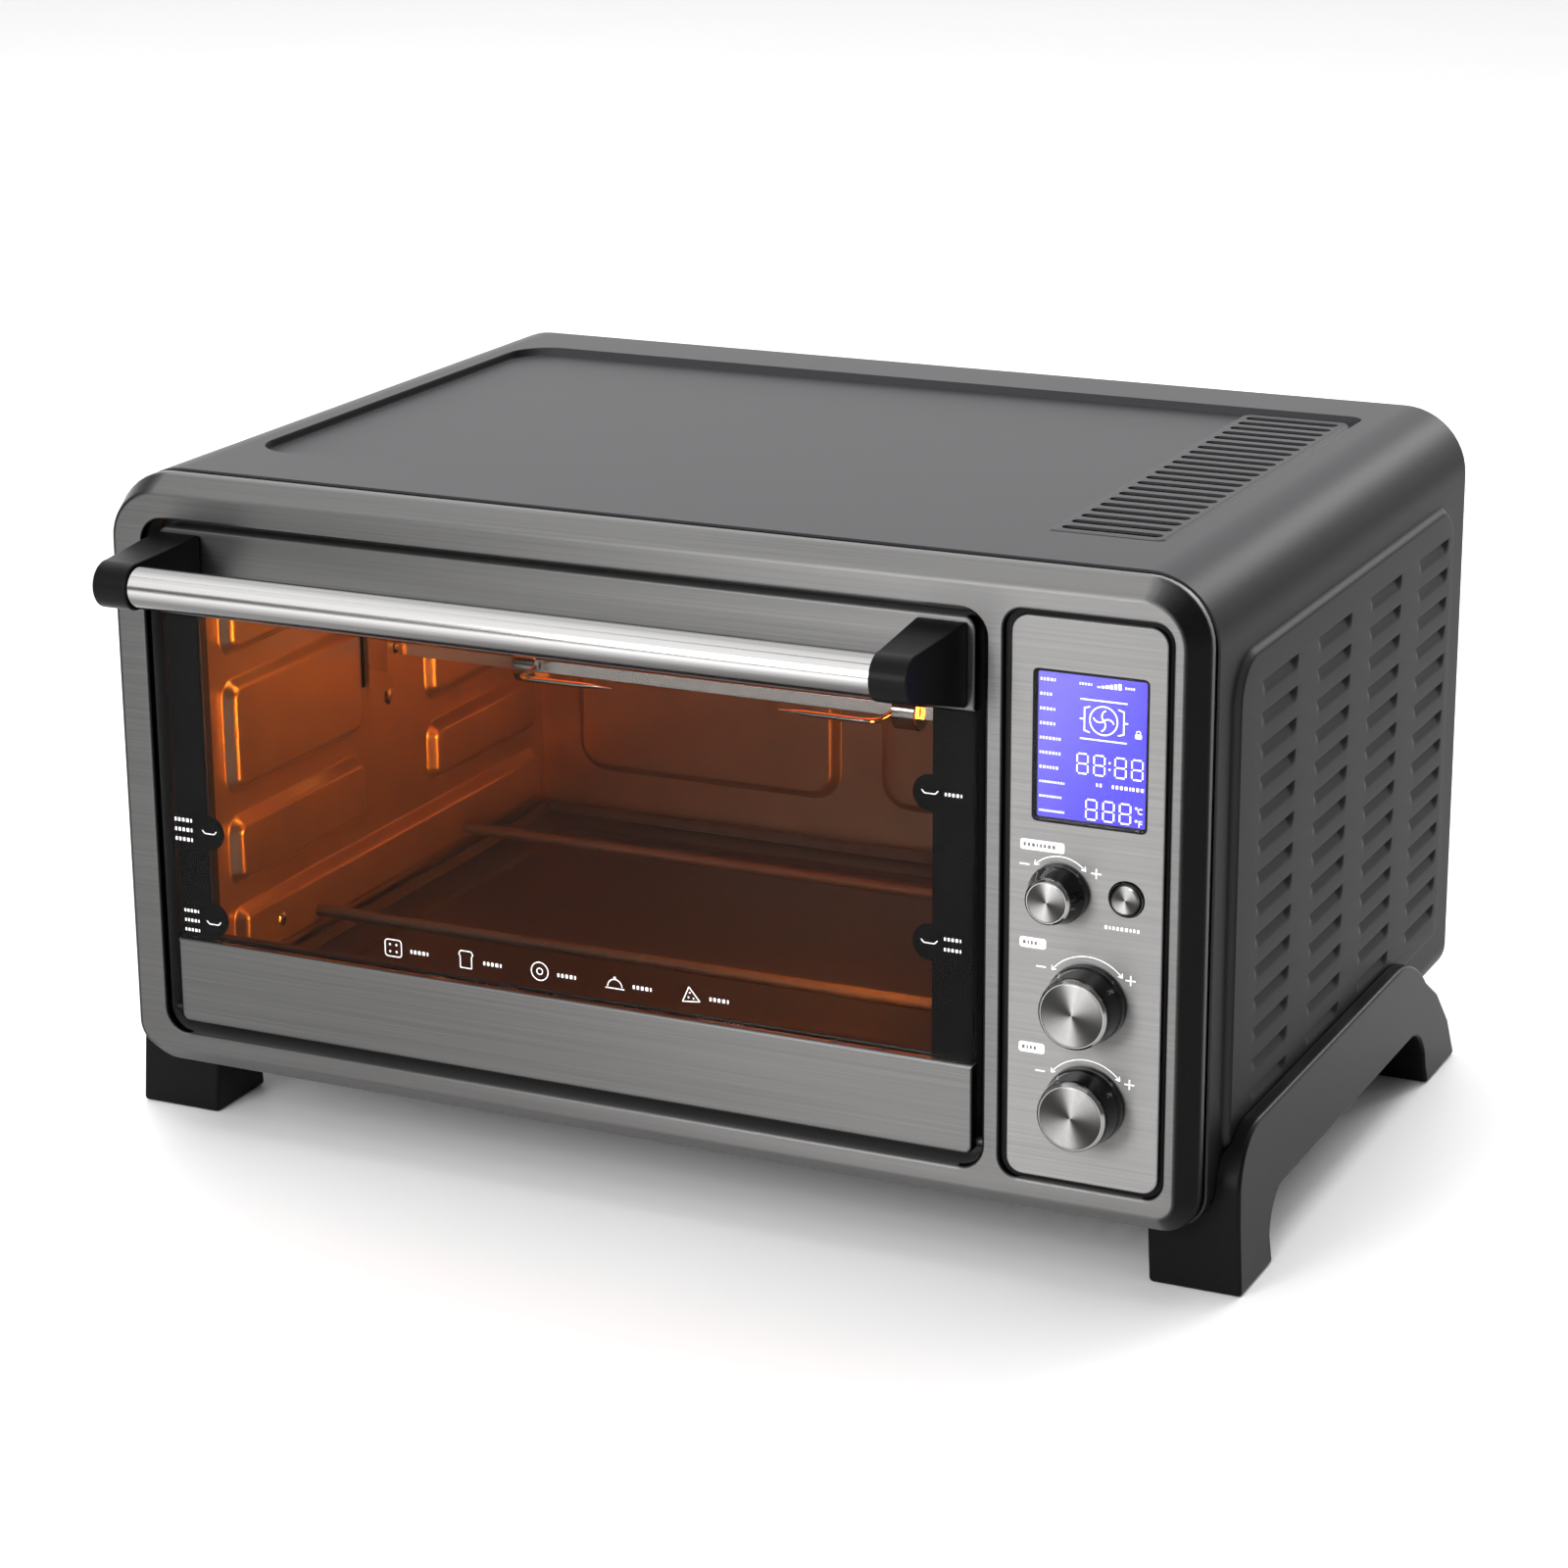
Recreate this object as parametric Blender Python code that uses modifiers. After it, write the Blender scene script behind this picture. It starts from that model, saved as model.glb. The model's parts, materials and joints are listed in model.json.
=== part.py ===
"""A counter-top toaster oven: steel front, drop-down glass door, digital controls, rotisserie.

Metres, +Z up, front towards -Y. Sizes are given from a working frame whose X = 0 is
the oven's centre line, Y = 0 the steel front's face and Z = 0 the worktop. The empty
named front_centre holds every piece and carries that frame, so that the object's own
origin lies in the middle of its footprint.
"""

import math

import bmesh
import bpy
from mathutils import Matrix, Vector

# Driving sizes of the body
BODY_HALF_WIDTH = 0.236
BODY_BOTTOM = 0.028
BODY_TOP = 0.2830
BODY_REAR = 0.328
SHEET = 0.0012
GAP = 0.0003
TOP_CORNER = 0.028
BOTTOM_CORNER = 0.014
COVER_FRONT = 0.0140
COVER_RETURN = 0.022

# Steel front
BEZEL_HALF_WIDTH = 0.2350
BEZEL_TOP = 0.2824
BEZEL_DEPTH = 0.011
BEZEL_FACE = 0.0020
BEZEL_RIM = 0.0016
BEZEL_EDGE = 0.005
BEZEL_TOP_CORNER = 0.025
BEZEL_BOTTOM_CORNER = 0.015

# Door opening, door and its hinge line
OPEN_LEFT, OPEN_RIGHT = -0.2198, 0.1497
OPEN_BOTTOM, OPEN_TOP = 0.0436, 0.2654
OPEN_CORNER = 0.010
DOOR_GAP_X = 0.0050
DOOR_LEFT, DOOR_RIGHT = OPEN_LEFT + DOOR_GAP_X, OPEN_RIGHT - DOOR_GAP_X
DOOR_BOTTOM, DOOR_TOP = 0.0478, 0.2608
DOOR_FACE = 0.0030
DOOR_BACK = 0.0130
STRIP_HEIGHT = 0.0362
STRIP_THICK = 0.0045
HINGE_Y, HINGE_Z = 0.0085, 0.0515
PIN_RADIUS = 0.0020
SURROUND_WALL = 0.0012

# Handle
HANDLE_Y, HANDLE_Z = -0.0382, 0.2470
HANDLE_RADIUS = 0.00825
BRACKET_RADIUS = 0.0096
BRACKET_WIDTH = 0.0205
BRACKET_TAPER = 0.0025
BRACKET_TOP, BRACKET_FOOT = 0.2590, 0.2258
BRACKET_INSET = 0.0006

# Control panel
GROOVE_LEFT, GROOVE_RIGHT = 0.1578, 0.2240
GROOVE_BOTTOM, GROOVE_TOP = 0.0421, 0.2680
GROOVE = 0.0029
DIAL_X = 0.1919
TEMPERATURE_Z, TIME_Z = 0.1183, 0.0776
FUNCTION_X, FUNCTION_Z = 0.1803, 0.1601
BUTTON_X, BUTTON_Z = 0.2066, 0.1608
LENS = (0.1690, 0.2138, 0.1871, 0.2452)

# Cavity (inner faces of its walls)
CAVITY_LEFT, CAVITY_RIGHT = -0.203, 0.133
CAVITY_FLOOR, CAVITY_ROOF = 0.055, 0.258
CAVITY_FRONT, CAVITY_BACK = 0.0163, 0.300
WALL = 0.0010
FRAME_FRONT = 0.0148
SPIT_Y, SPIT_Z = 0.150, 0.176
HEATER_RADIUS = 0.0033
HEATER_TOP_Z, HEATER_LOW_Z = 0.243, 0.073
FAN_Y, FAN_Z = 0.234, 0.110
PROBE_Y, PROBE_Z = 0.060, 0.222

# Feet
FOOT_INNER, FOOT_OUTER = 0.2090, 0.2485
FOOT_TAPER = 0.0035
FOOT_FRONT, FOOT_REAR = 0.0200, 0.306
SKIRT_TOP = 0.063
ARCH_TOP = 0.0275

# Whole depth, which sets the object's own origin
HANDLE_FRONT = HANDLE_Y - BRACKET_RADIUS
SPACER = 0.010
REAR_PANEL_Y = BODY_REAR - 0.003
OBJECT_REAR = REAR_PANEL_Y + SHEET + SPACER
CENTRE_Y = (HANDLE_FRONT + OBJECT_REAR) / 2

STEEL = (0.30, 0.295, 0.29), 0.34, 1.0
BRIGHT = (0.75, 0.74, 0.73), 0.18, 1.0
PAINT = (0.075, 0.075, 0.080), 0.40, 0.3
BLACK = (0.012, 0.012, 0.013), 0.45, 0.0
GLOSS = (0.006, 0.006, 0.007), 0.12, 0.0
LINER = (0.62, 0.60, 0.56), 0.38, 1.0
CERAMIC = (0.70, 0.68, 0.62), 0.60, 0.0
BOARD = (0.03, 0.16, 0.07), 0.50, 0.0
GLASS = (0.05, 0.05, 0.055), 0.05, 0.0

AXIS_TURN = {
    "X": Matrix.Rotation(math.radians(90), 4, "Y"),
    "Y": Matrix.Rotation(math.radians(-90), 4, "X"),
    "Z": Matrix.Identity(4),
}


# ---------------------------------------------------------------- scene and materials
def clear_scene():
    for obj in list(bpy.data.objects):
        bpy.data.objects.remove(obj, do_unlink=True)


def new_collection(name):
    collection = bpy.data.collections.new(name)
    bpy.context.scene.collection.children.link(collection)
    return collection


clear_scene()
OVEN = new_collection("toaster_oven")
CUTTERS = new_collection("cutters")
CUTTERS.hide_render = True
FRAME = bpy.data.objects.new("front_centre", None)
OVEN.objects.link(FRAME)
FRAME.location = (0, -CENTRE_Y, 0)


def material(name, look):
    colour, roughness, metallic = look
    made = bpy.data.materials.new(name)
    made.use_nodes = True
    shader = made.node_tree.nodes["Principled BSDF"]
    shader.inputs["Base Color"].default_value = (*colour, 1)
    shader.inputs["Roughness"].default_value = roughness
    shader.inputs["Metallic"].default_value = metallic
    return made


def finish_mesh(bm):
    """Every mesh is made here: faces point out, round stretches are smooth."""
    bm.normal_update()
    bmesh.ops.recalc_face_normals(bm, faces=bm.faces)
    mesh = bpy.data.meshes.new("shape")
    bm.to_mesh(mesh)
    bm.free()
    mesh.shade_smooth()
    mesh.set_sharp_from_angle(angle=math.radians(35))
    return mesh


def piece(name, mesh, look, location=(0, 0, 0)):
    mesh.name = name
    obj = bpy.data.objects.new(name, mesh)
    obj.data.materials.append(material(name, look))
    obj.location = location
    obj.parent = FRAME
    OVEN.objects.link(obj)
    return obj


def cutter(mesh, location=(0, 0, 0)):
    obj = bpy.data.objects.new("cutter", mesh)
    obj.location = location
    obj.parent = FRAME
    obj.hide_render = True
    obj.display_type = "WIRE"
    CUTTERS.objects.link(obj)
    return obj


def cut(target, mesh, location=(0, 0, 0), operation="DIFFERENCE"):
    """Takes a closed shape away from a piece, or joins or keeps what they share."""
    step = target.modifiers.new("cut", "BOOLEAN")
    step.operation = operation
    step.solver = "EXACT"
    step.object = cutter(mesh, location)


# ---------------------------------------------------------------- basic shapes
def box_bm(low, high):
    bm = bmesh.new()
    bmesh.ops.create_cube(bm, size=1)
    size = [b - a for a, b in zip(low, high)]
    middle = [(a + b) / 2 for a, b in zip(low, high)]
    bmesh.ops.scale(bm, vec=size, verts=bm.verts)
    bmesh.ops.translate(bm, vec=middle, verts=bm.verts)
    return bm


def box(low, high):
    return finish_mesh(box_bm(low, high))


def boxes(corners):
    """Several separate boxes in one mesh, for cutting a row of slots."""
    bm = bmesh.new()
    for low, high in corners:
        made = bmesh.ops.create_cube(bm, size=1)["verts"]
        size = [b - a for a, b in zip(low, high)]
        middle = [(a + b) / 2 for a, b in zip(low, high)]
        bmesh.ops.scale(bm, vec=size, verts=made)
        bmesh.ops.translate(bm, vec=middle, verts=made)
    return finish_mesh(bm)


def round_edges(bm, wanted, radius, segments):
    edges = [edge for edge in bm.edges if wanted(edge)]
    bmesh.ops.bevel(
        bm, geom=edges, offset=radius, segments=segments, profile=0.5, affect="EDGES"
    )


def along(edge, axis):
    first, second = (vert.co for vert in edge.verts)
    return all(abs(first[k] - second[k]) < 1e-7 for k in range(3) if k != axis)


def panel(low, high, top_corner, bottom_corner=None, segments=5, front_edge=0.0):
    """A plate that faces the front, with rounded corners and, if asked, a rounded front edge."""
    if bottom_corner is None:
        bottom_corner = top_corner
    middle = (low[2] + high[2]) / 2
    bm = box_bm(low, high)
    for radius, upper in ((top_corner, True), (bottom_corner, False)):
        if radius > 0:
            round_edges(
                bm,
                lambda e, upper=upper: along(e, 1)
                and (e.verts[0].co.z > middle) == upper
                and min(abs(e.verts[0].co.x - low[0]), abs(e.verts[0].co.x - high[0])) < 1e-7
                and min(abs(e.verts[0].co.z - low[2]), abs(e.verts[0].co.z - high[2])) < 1e-7,
                radius,
                segments,
            )
    if front_edge > 0:
        round_edges(
            bm,
            lambda e: all(abs(vert.co.y - low[1]) < 1e-7 for vert in e.verts),
            front_edge,
            3,
        )
    return finish_mesh(bm)


def cylinder(start, end, radius, axis, sides=24, tip=None):
    """A rod along one axis between two points that share its line."""
    bm = bmesh.new()
    length = (Vector(end) - Vector(start)).length
    bmesh.ops.create_cone(
        bm,
        cap_ends=True,
        segments=sides,
        radius1=radius,
        radius2=radius if tip is None else tip,
        depth=length,
    )
    bm.transform(Matrix.Translation((Vector(start) + Vector(end)) / 2) @ AXIS_TURN[axis])
    return finish_mesh(bm)


def turned(name, profile, axis, centre, look, steps=24):
    """A turned piece: its profile, (radius, height) from the top down, swept round the axis."""
    mesh = bpy.data.meshes.new(name)
    points = [(radius, 0, height) for radius, height in profile]
    closed = profile[0][0] > 0
    edges = [(k, k + 1) for k in range(len(points) - 1)]
    if closed:
        edges.append((len(points) - 1, 0))
    mesh.from_pydata(points, edges, [])
    obj = piece(name, mesh, look, centre)
    obj.rotation_euler = {
        "X": (0, math.radians(90), 0),
        "Y": (math.radians(90), 0, 0),
        "Z": (0, 0, 0),
    }[axis]
    screw = obj.modifiers.new("turn", "SCREW")
    screw.axis = "Z"
    screw.steps = steps
    screw.render_steps = steps
    screw.use_merge_vertices = True
    screw.merge_threshold = 0.00005
    screw.use_smooth_shade = True
    return obj


def arc(centre, radius, start, end, count):
    """Points of an arc in a plane, from one angle to another, in degrees."""
    for k in range(count + 1):
        angle = math.radians(start + (end - start) * k / count)
        yield centre[0] + radius * math.cos(angle), centre[1] + radius * math.sin(angle)


def side_outline(points, x_low, x_high):
    """A flat outline in the (Y, Z) plane, given width along X."""
    data = bpy.data.curves.new("outline", "CURVE")
    data.dimensions = "2D"
    data.fill_mode = "BOTH"
    data.extrude = (x_high - x_low) / 2
    line = data.splines.new("POLY")
    line.points.add(len(points) - 1)
    for point, (y, z) in zip(line.points, points):
        point.co = (y, z, 0, 1)
    line.use_cyclic_u = True
    guide = bpy.data.objects.new("outline", data)
    bpy.context.scene.collection.objects.link(guide)
    bpy.context.view_layer.update()
    graph = bpy.context.evaluated_depsgraph_get()
    mesh = bpy.data.meshes.new_from_object(guide.evaluated_get(graph))
    bpy.data.objects.remove(guide, do_unlink=True)
    bm = bmesh.new()
    bm.from_mesh(mesh)
    bmesh.ops.remove_doubles(bm, verts=bm.verts, dist=1e-6)
    # The outline's X, Y and depth become Y, Z and X.
    stand = Matrix(((0, 0, 1, (x_low + x_high) / 2), (1, 0, 0, 0), (0, 1, 0, 0), (0, 0, 0, 1)))
    bm.transform(stand)
    return bm


# ---------------------------------------------------------------- outer body
def cover_profile():
    """The wrap's outer line, from the left roll-under over the top to the right one."""
    x, bottom, top = BODY_HALF_WIDTH, BODY_BOTTOM, BODY_TOP
    low, high = BOTTOM_CORNER, TOP_CORNER
    points = [(-x + low + COVER_RETURN, bottom)]
    points += arc((-x + low, bottom + low), low, 270, 180, 5)
    points += arc((-x + high, top - high), high, 180, 90, 8)
    points += arc((x - high, top - high), high, 90, 0, 8)
    points += arc((x - low, bottom + low), low, 0, -90, 5)
    points.append((x - low - COVER_RETURN, bottom))
    return points


def vent_slots():
    """A row of slots across the top, over the control side."""
    low_x, high_x = 0.1520, 0.1925
    first, last, count = 0.070, 0.283, 22
    pitch = (last - first) / (count - 1)
    width = 0.0052
    for k in range(count):
        y = first + pitch * k
        yield (low_x, y - width / 2, BODY_TOP - 0.01), (high_x, y + width / 2, BODY_TOP + 0.01)


def side_slots():
    """Four columns of fourteen louvre openings in the right side."""
    columns, rows = 4, 14
    first_y, pitch_y, length = 0.0545, 0.0667, 0.042
    top_z, pitch_z, height = 0.2310, 0.01258, 0.0034
    for column in range(columns):
        for row in range(rows):
            y = first_y + pitch_y * column
            z = top_z - pitch_z * row
            yield (
                (BODY_HALF_WIDTH - 0.008, y, z - height / 2),
                (BODY_HALF_WIDTH + 0.008, y + length, z + height / 2),
            )


def make_cover():
    bm = bmesh.new()
    points = [bm.verts.new((x, COVER_FRONT, z)) for x, z in cover_profile()]
    edges = [bm.edges.new(pair) for pair in zip(points, points[1:])]
    swept = bmesh.ops.extrude_edge_only(bm, edges=edges)["geom"]
    moved = [item for item in swept if isinstance(item, bmesh.types.BMVert)]
    bmesh.ops.translate(bm, vec=(0, BODY_REAR - COVER_FRONT, 0), verts=moved)
    for face in bm.faces:
        face.normal_update()
    highest = max(bm.faces, key=lambda face: face.calc_center_median().z)
    if highest.normal.z < 0:
        bmesh.ops.reverse_faces(bm, faces=bm.faces)
    mesh = bpy.data.meshes.new("wrap_cover")
    bm.to_mesh(mesh)
    bm.free()
    mesh.shade_smooth()
    mesh.set_sharp_from_angle(angle=math.radians(35))
    cover = piece("wrap_cover", mesh, PAINT)
    shell = cover.modifiers.new("sheet", "SOLIDIFY")
    shell.thickness = SHEET
    shell.offset = -1
    shell.use_even_offset = True
    cut(cover, boxes(vent_slots()))
    cut(cover, boxes(side_slots()))


def make_bezel():
    x = BEZEL_HALF_WIDTH
    face = piece(
        "front_bezel",
        panel(
            (-x, 0, BODY_BOTTOM),
            (x, BEZEL_DEPTH, BEZEL_TOP),
            BEZEL_TOP_CORNER,
            BEZEL_BOTTOM_CORNER,
            6,
            BEZEL_EDGE,
        ),
        STEEL,
    )
    inset = BEZEL_RIM
    cut(
        face,
        panel(
            (-x + inset, BEZEL_FACE, BODY_BOTTOM + inset),
            (x - inset, BEZEL_DEPTH + 0.01, BEZEL_TOP - inset),
            BEZEL_TOP_CORNER - inset,
            BEZEL_BOTTOM_CORNER - inset,
            6,
            BEZEL_EDGE - inset,
        ),
    )
    through = 0.01
    cut(
        face,
        panel(
            (OPEN_LEFT, -through, OPEN_BOTTOM),
            (OPEN_RIGHT, through, OPEN_TOP),
            OPEN_CORNER,
        ),
    )
    cut(
        face,
        panel(
            (GROOVE_LEFT, -through, GROOVE_BOTTOM),
            (GROOVE_RIGHT, through, GROOVE_TOP),
            0.0085,
        ),
    )


def make_rear_and_base():
    inner = BODY_HALF_WIDTH - SHEET - GAP
    low_z = BODY_BOTTOM + SHEET + GAP
    high_z = BODY_TOP - SHEET - GAP
    y = REAR_PANEL_Y
    rear = piece(
        "rear_panel",
        panel(
            (-inner, y, low_z),
            (inner, y + SHEET, high_z),
            TOP_CORNER - SHEET - GAP,
            BOTTOM_CORNER - SHEET - GAP,
            6,
        ),
        PAINT,
    )
    for side in (-1, 1):
        boss = cylinder(
            (side * 0.17, y + SHEET / 2, 0.205), (side * 0.17, OBJECT_REAR, 0.205), 0.011, "Y", 20
        )
        cut(rear, boss, operation="UNION")
    rows = [
        ((x, y - 0.01, 0.12 + 0.012 * row), (x + 0.040, y + 0.01, 0.1240 + 0.012 * row))
        for x in (0.060, 0.120)
        for row in range(5)
    ]
    cut(rear, boxes(rows))
    cut(rear, cylinder((0.205, y - 0.01, 0.07), (0.205, y + 0.02, 0.07), 0.0082, "Y", 20))
    flange, nose, bore = 0.0110, 0.0079, 0.0040
    gland = turned(
        "cord_gland",
        [(bore + 0.003, 0.0050), (flange, 0.0035), (flange, SHEET + GAP), (nose, SHEET + GAP)]
        + [(nose, -0.0060), (bore, -0.0060), (bore, 0.0050)],
        "Y",
        (0.205, y, 0.07),
        BLACK,
        20,
    )
    gland.rotation_euler = (math.radians(-90), 0, 0)
    base = piece(
        "base_pan",
        box(
            (-inner + BOTTOM_CORNER, COVER_FRONT + 0.001, low_z),
            (inner - BOTTOM_CORNER, y - GAP, low_z + SHEET),
        ),
        PAINT,
    )
    slots = [
        ((0.145 + 0.012 * k, 0.06, low_z - 0.01), (0.149 + 0.012 * k, 0.11, low_z + 0.01))
        for k in range(5)
    ]
    cut(base, boxes(slots))


def foot_outline():
    """Side view of a foot: two legs, an arch between them and a skirt along the body."""
    front, rear = FOOT_FRONT, FOOT_REAR
    points = [(front, 0.0), (front + 0.001, 0.030)]
    points += arc((front + 0.028, SKIRT_TOP - 0.026), 0.026, 165, 90, 4)
    points += arc((rear - 0.078, SKIRT_TOP - 0.050), 0.050, 90, 45, 4)
    points += [(rear - 0.022, 0.034), (rear - 0.008, 0.017), (rear, 0.0)]
    points += [(rear - 0.041, 0.0), (rear - 0.044, 0.008)]
    points += arc((rear - 0.062, ARCH_TOP - 0.018), 0.018, 15, 90, 4)
    points += arc((front + 0.054, ARCH_TOP - 0.018), 0.018, 90, 172, 4)
    points += [(front + 0.038, 0.0)]
    return points


def make_feet():
    for side, name in ((-1, "foot_left"), (1, "foot_right")):
        bm = side_outline(foot_outline(), FOOT_INNER, FOOT_OUTER)
        for vert in bm.verts:
            lean = FOOT_TAPER * vert.co.z / SKIRT_TOP
            vert.co.x -= lean
        if side < 0:
            bmesh.ops.scale(bm, vec=(-1, 1, 1), verts=bm.verts)
        foot = piece(name, finish_mesh(bm), BLACK)
        clear = BODY_HALF_WIDTH + GAP
        cut(
            foot,
            panel(
                (-clear, -0.02, BODY_BOTTOM - GAP),
                (clear, FOOT_REAR + 0.02, BODY_TOP),
                TOP_CORNER,
                BOTTOM_CORNER,
                5,
            ),
        )


# ---------------------------------------------------------------- oven cavity
def ring(name, outer, inner, y_low, y_high, corners, look):
    """A flat frame: outer and inner are (left, right, bottom, top)."""
    left, right, bottom, top = outer
    made = piece(
        name, panel((left, y_low, bottom), (right, y_high, top), corners[0], segments=4), look
    )
    left, right, bottom, top = inner
    hole = panel((left, y_low - 0.02, bottom), (right, y_high + 0.02, top), corners[1], segments=4)
    cut(made, hole)
    return made


def make_door_surround():
    wall = SURROUND_WALL
    y_low, y_high = BEZEL_FACE + GAP, 0.0142
    inner = (OPEN_LEFT, OPEN_RIGHT, OPEN_BOTTOM - 0.0004, OPEN_TOP + 0.0004)
    outer = (inner[0] - wall, inner[1] + wall, inner[2] - wall, inner[3] + wall)
    made = ring(
        "door_surround", outer, inner, y_low, y_high, (OPEN_CORNER + wall, OPEN_CORNER), BLACK
    )
    start, end = (outer[0] - 0.01, HINGE_Y, HINGE_Z), (outer[1] + 0.01, HINGE_Y, HINGE_Z)
    cut(made, cylinder(start, end, PIN_RADIUS + 0.0006, "X", 16))


def make_front_frame():
    made = ring(
        "front_frame",
        (-0.228, 0.1545, 0.033, 0.276),
        (CAVITY_LEFT, CAVITY_RIGHT, CAVITY_FLOOR, CAVITY_ROOF),
        FRAME_FRONT,
        FRAME_FRONT + WALL,
        (0.010, 0.003),
        BLACK,
    )
    return made


def make_cavity():
    left, right = CAVITY_LEFT, CAVITY_RIGHT
    floor, roof = CAVITY_FLOOR, CAVITY_ROOF
    front, back = CAVITY_FRONT, CAVITY_BACK
    walls = {
        "cavity_left_wall": ((left - WALL, front, floor), (left, back, roof)),
        "cavity_right_wall": ((right, front, floor), (right + WALL, back, roof)),
        "cavity_roof": ((left - WALL, front, roof + GAP), (right + WALL, back, roof + GAP + WALL)),
        "cavity_floor": (
            (left - WALL, front, floor - GAP - WALL),
            (right + WALL, back, floor - GAP),
        ),
        "cavity_back": (
            (left - WALL, back + GAP, floor - GAP - WALL),
            (right + WALL, back + GAP + WALL, roof + GAP + WALL),
        ),
    }
    made = {name: piece(name, box(*corners), LINER) for name, corners in walls.items()}
    hole = HEATER_RADIUS + 0.0006
    for y, z in heater_places().values():
        for name, x in (("cavity_left_wall", left), ("cavity_right_wall", right)):
            cut(made[name], cylinder((x - 0.01, y, z), (x + 0.01, y, z), hole, "X", 12))
    cut(
        made["cavity_right_wall"],
        cylinder((right - 0.01, SPIT_Y, SPIT_Z), (right + 0.01, SPIT_Y, SPIT_Z), 0.0075, "X", 16),
    )
    pitch, width, reach = 0.0125, 0.0050, 0.030
    grille = [
        (
            (right - 0.01, FAN_Y + pitch * k - width / 2, FAN_Z - reach),
            (right + 0.01, FAN_Y + pitch * k + width / 2, FAN_Z + reach),
        )
        for k in range(-2, 3)
    ]
    cut(made["cavity_right_wall"], boxes(grille))
    probe_hole = cylinder(
        (right - 0.01, PROBE_Y, PROBE_Z), (right + 0.01, PROBE_Y, PROBE_Z), 0.0026, "X", 12
    )
    cut(made["cavity_right_wall"], probe_hole)
    lip, sheet = 0.0075, 0.0010
    tray_low = floor + GAP
    tray = piece(
        "crumb_tray",
        box((left + 0.004, front + 0.002, tray_low), (right - 0.004, back - 0.004, tray_low + lip)),
        LINER,
    )
    cut(
        tray,
        box(
            (left + 0.004 + sheet, front + 0.002 + sheet, tray_low + sheet),
            (right - 0.004 - sheet, back - 0.004 - sheet, tray_low + lip + 0.01),
        ),
    )


def heater_places():
    return {
        "upper_heater_front": (0.086, HEATER_TOP_Z),
        "upper_heater_rear": (0.214, HEATER_TOP_Z),
        "lower_heater_front": (0.086, HEATER_LOW_Z),
        "lower_heater_rear": (0.214, HEATER_LOW_Z),
    }


def make_heaters():
    reach = 0.012
    for name, (y, z) in heater_places().items():
        rod = cylinder(
            (CAVITY_LEFT - reach, y, z), (CAVITY_RIGHT + reach, y, z), HEATER_RADIUS, "X", 12
        )
        piece(name, rod, CERAMIC)


# ---------------------------------------------------------------- rotisserie, fan, probe
def make_fork(name, x, direction):
    """A two-tined fork: a hub, a cross bar level with the spit, and tines along it."""
    hub_radius, hub_length = 0.0085, 0.010
    spread, tine, thick, reach = 0.024, 0.0032, 0.0024, 0.046
    bm = box_bm(
        (min(0, direction * thick), -spread, -tine), (max(0, direction * thick), spread, tine)
    )
    fork = piece(name, finish_mesh(bm), BRIGHT, (x, SPIT_Y, SPIT_Z))
    hub = cylinder((-hub_length * direction, 0, 0), (direction * thick, 0, 0), hub_radius, "X", 16)
    cut(fork, hub, (x, SPIT_Y, SPIT_Z), "UNION")
    for side in (-1, 1):
        y = side * (spread - thick / 2)
        low_x, high_x = sorted((0, direction * reach))
        tine_mesh = box((low_x, y - thick / 2, -thick / 2), (high_x, y + thick / 2, thick / 2))
        cut(fork, tine_mesh, (x, SPIT_Y, SPIT_Z), "UNION")
    bore = box((-0.05, -0.0032, -0.0032), (0.05, 0.0032, 0.0032))
    cut(fork, bore, (x, SPIT_Y, SPIT_Z))
    screw_x = x - direction * hub_length * 0.55
    hole = cylinder((0, 0, 0.0020), (0, 0, 0.02), 0.0022, "Z", 12)
    cut(fork, hole, (screw_x, SPIT_Y, SPIT_Z))
    turned(
        name.replace("fork", "screw"),
        [(0, 0.0220), (0.0055, 0.0220), (0.0055, 0.0130), (0.0019, 0.0130), (0.0019, 0.0036)]
        + [(0, 0.0036)],
        "Z",
        (screw_x, SPIT_Y, SPIT_Z),
        BRIGHT,
        12,
    )


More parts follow.
